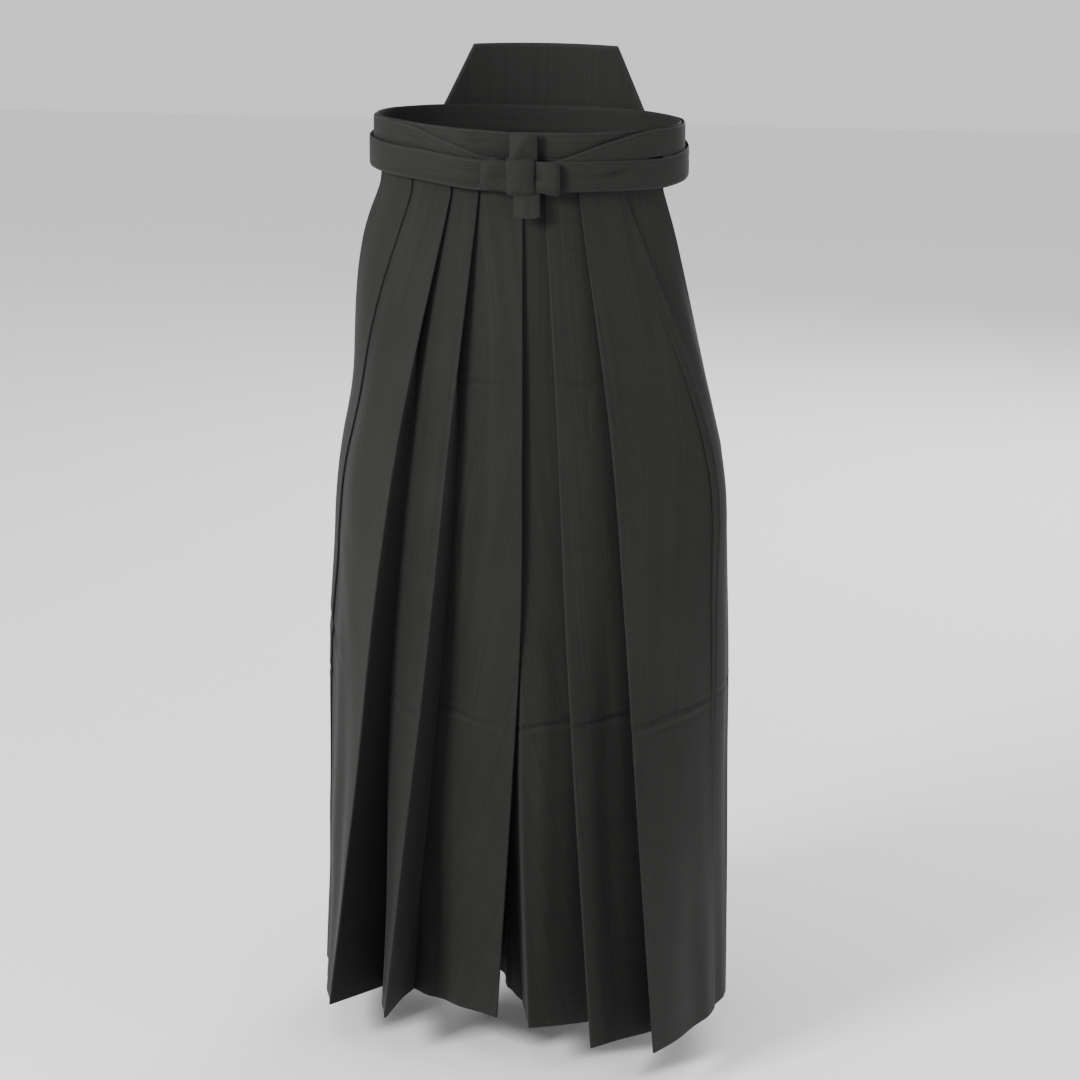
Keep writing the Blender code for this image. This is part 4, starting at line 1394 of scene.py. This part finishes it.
def bowPiece(side):
    cut = knot["bows"][side]
    first = knot["tailGap"] + knot["seam"] + knot["bowCloth"] / 2
    t = np.linspace(0.0, 1.0, 40)
    radius = cut["open"] * mm / 2
    reach = cut["reach"] * cm - radius - knot["bowCloth"] / 2
    start = knot["bowNeck"] * cm
    distance = start + (reach - start) * t
    opens, opensBy = (at * cm for at in knot["bowOpens"])
    opened = eased(distance, opens, opensBy)
    gap = knot["bowGap"] + (2 * radius - knot["bowGap"]) * opened
    turn = np.radians(np.linspace(-90, 90, 15))[1:-1]
    fold = np.stack((reach + radius * np.cos(turn), first + radius * (1 + np.sin(turn))), axis=1)
    inner = np.stack((distance, np.full(len(t), first)), axis=1)
    outer = np.stack((distance, first + gap), axis=1)
    profile = np.concatenate((inner, fold, outer[::-1]))
    share = np.clip((profile[:, 0] - opens) / (reach - opens), 0, 1)
    middle = knot["neckMiddle"] + (cut["middle"] - knot["neckMiddle"]) * share
    path = knotPoint(profile[:, 0] / cm * cut["way"], profile[:, 1], middle * cm)
    width = cut["width"] * cm
    neck = knot["neckWidth"] / cut["width"]
    fullness = neck + (1 - neck) * share - knot["bowNarrows"] * eased(share, 0.8, 1.0)
    whole = np.linalg.norm(np.diff(path, axis=0), axis=1).sum()

    def deform(points, run, side):
        # Fullness near the fold, rounded corners, and creases that fan out from the neck
        fromNeck = np.minimum(run, whole - run) / (whole / 2)
        outerLayer = eased(run, whole * 0.46, whole * 0.56)
        half = side / (width / 2)
        puff = cut["puff"] * mm * eased(fromNeck, *cut["full"]) * eased(fromNeck, 1.0, 0.9) * (1 - half**4)
        fan = np.zeros(len(points))
        near = np.exp(-(((fromNeck - knot["fanMiddle"]) / knot["fanReach"]) ** 2))
        for lean, at, depth in knot["fan"]:
            away = (half - at - lean * (fromNeck - 0.35)) / knot["fanWidth"]
            fan += depth * mm * np.exp(-(away**2)) * near
        moved = points + knotOut * ((puff - fan) * outerLayer)[:, None]
        moved[:, 2] -= cut["drop"] * cm * fromNeck**3 * np.clip(half, 0, 1)
        drawn = knot["bowDrawn"] * np.abs(half) ** 8 * eased(fromNeck, 0.55, 1.0)
        return moved - knotAcross * (drawn * cut["way"])[:, None]

    name = "knotBow" + side.capitalize()
    knotPiece(strip(name, path, (0, 0, cut["way"]), width, knot["bowCloth"], deform, fullness))


def wrapPiece():
    # The stretch over the bows' necks: a C seen from the side
    cut = knot["wrap"]
    cloth = cut["cloth"] * mm
    inside = knot["tailGap"] + knot["seam"]
    outside = inside + knot["bowCloth"] + knot["bowGap"] + knot["seam"] + cloth / 2
    top, low = cut["top"] * cm - cloth / 2, cut["bottom"] * cm + cloth / 2
    corner = cut["corner"] * mm
    turn = np.radians(np.linspace(0, 90, 10))
    down = np.linspace(0, 1, 24)[1:-1]
    over = np.stack((outside - corner + corner * np.sin(turn), top - corner + corner * np.cos(turn)), axis=1)
    front = np.stack((np.full(len(down), outside), top - corner + (low - top + 2 * corner) * down), axis=1)
    under = np.stack((over[::-1, 0], low + corner - corner * np.cos(turn[::-1])), axis=1)
    profile = np.concatenate((((inside, top),), over, front, under, ((inside, low),)))
    path = knotPoint(cut["middle"], profile[:, 0], profile[:, 1])
    width = 2 * cut["half"] * cm

    def deform(points, run, side):
        half = side / (width / 2)
        height = np.clip((points[:, 2] - low) / (top - low), 0, 1)
        crown = cut["crown"] * mm * np.sin(height * math.pi) ** 0.6 * (1 - half**2)
        # The edges draw in half way down
        pull = knot["wrapPull"] * np.exp(-(((height - 0.45) / 0.3) ** 2)) * half
        ripple = knot["wrapRipple"] * np.sin(half * 5.2 + height * 2.0) * np.sin(height * math.pi)
        corner = knot["corner"] * np.abs(half) ** 7 * (eased(height, 0.75, 1.0) - eased(height, 0.25, 0.0))
        moved = roundedBack(points, side) + knotOut * (crown + ripple)[:, None]
        moved[:, 2] -= corner
        return moved - knotAcross * pull[:, None]

    knotPiece(strip("knotWrap", path, -knotAcross, width, cloth, deform, softness=knot["wrapSoftness"]))


tailPiece("tailUp")
tailPiece("tailDown")
bowPiece("right")
bowPiece("left")
wrapPiece()
print("knot made")

# Back board

board = {
    "wall": 4.0 * mm,
    "bottom": -3.3 * cm,
    "height": 9.3 * cm,
    "halfBottom": 12.0 * cm,
    "halfTop": 7.6 * cm,
    "rows": 34,
    "columns": 70,
    "middleColumn": 35,
    "stitchInset": 2,  # rows and columns from the edge
    "crown": 0.5 * mm,
    # lighter line along the board's edges, partly wear and partly painted highlight
    "worn": 0.8,
    "rim": 0.4,
}


def boardPiece():
    rows = []
    for share in np.linspace(1.0, 0.0, board["rows"]):
        half = board["halfBottom"] + (board["halfTop"] - board["halfBottom"]) * share
        line = []
        for x in np.linspace(half, -half, board["columns"]):
            swell = board["crown"] * math.sin(share * math.pi) * (1 - (x / half) ** 2)
            line.append((*onWaist(x, waist["layer"] + swell, 1), board["bottom"] + board["height"] * share))
        rows.append(line)
    grid = np.array(rows)
    folds = np.zeros(grid.shape[:2])
    folds[[0, -1]] = board["worn"]
    folds[:, [0, -1]] = board["worn"]
    cut = clothMap(grid, board["middleColumn"])
    piece = shellPiece("backBoard", grid, board["wall"], cut, "boardCloth", folds, board["rim"])
    declared(piece, nodeOf("backBoard"))
    face = stitchFace(grid, board["wall"])
    inset = board["stitchInset"]
    columns = range(inset, board["columns"] - inset)
    frameLine = [face[inset, c] for c in columns]
    frameLine += [face[r, -1 - inset] for r in range(inset, board["rows"] - inset)]
    frameLine += [face[-1 - inset, c] for c in range(board["columns"] - 1 - inset, inset - 1, -1)]
    frameLine += [face[r, inset] for r in range(board["rows"] - 1 - inset, inset - 1, -1)]
    stitches("backBoardStitches", [frameLine, [face[-1 - 2 * inset, c] for c in columns]], "board")



boardPiece()
print("back board made")
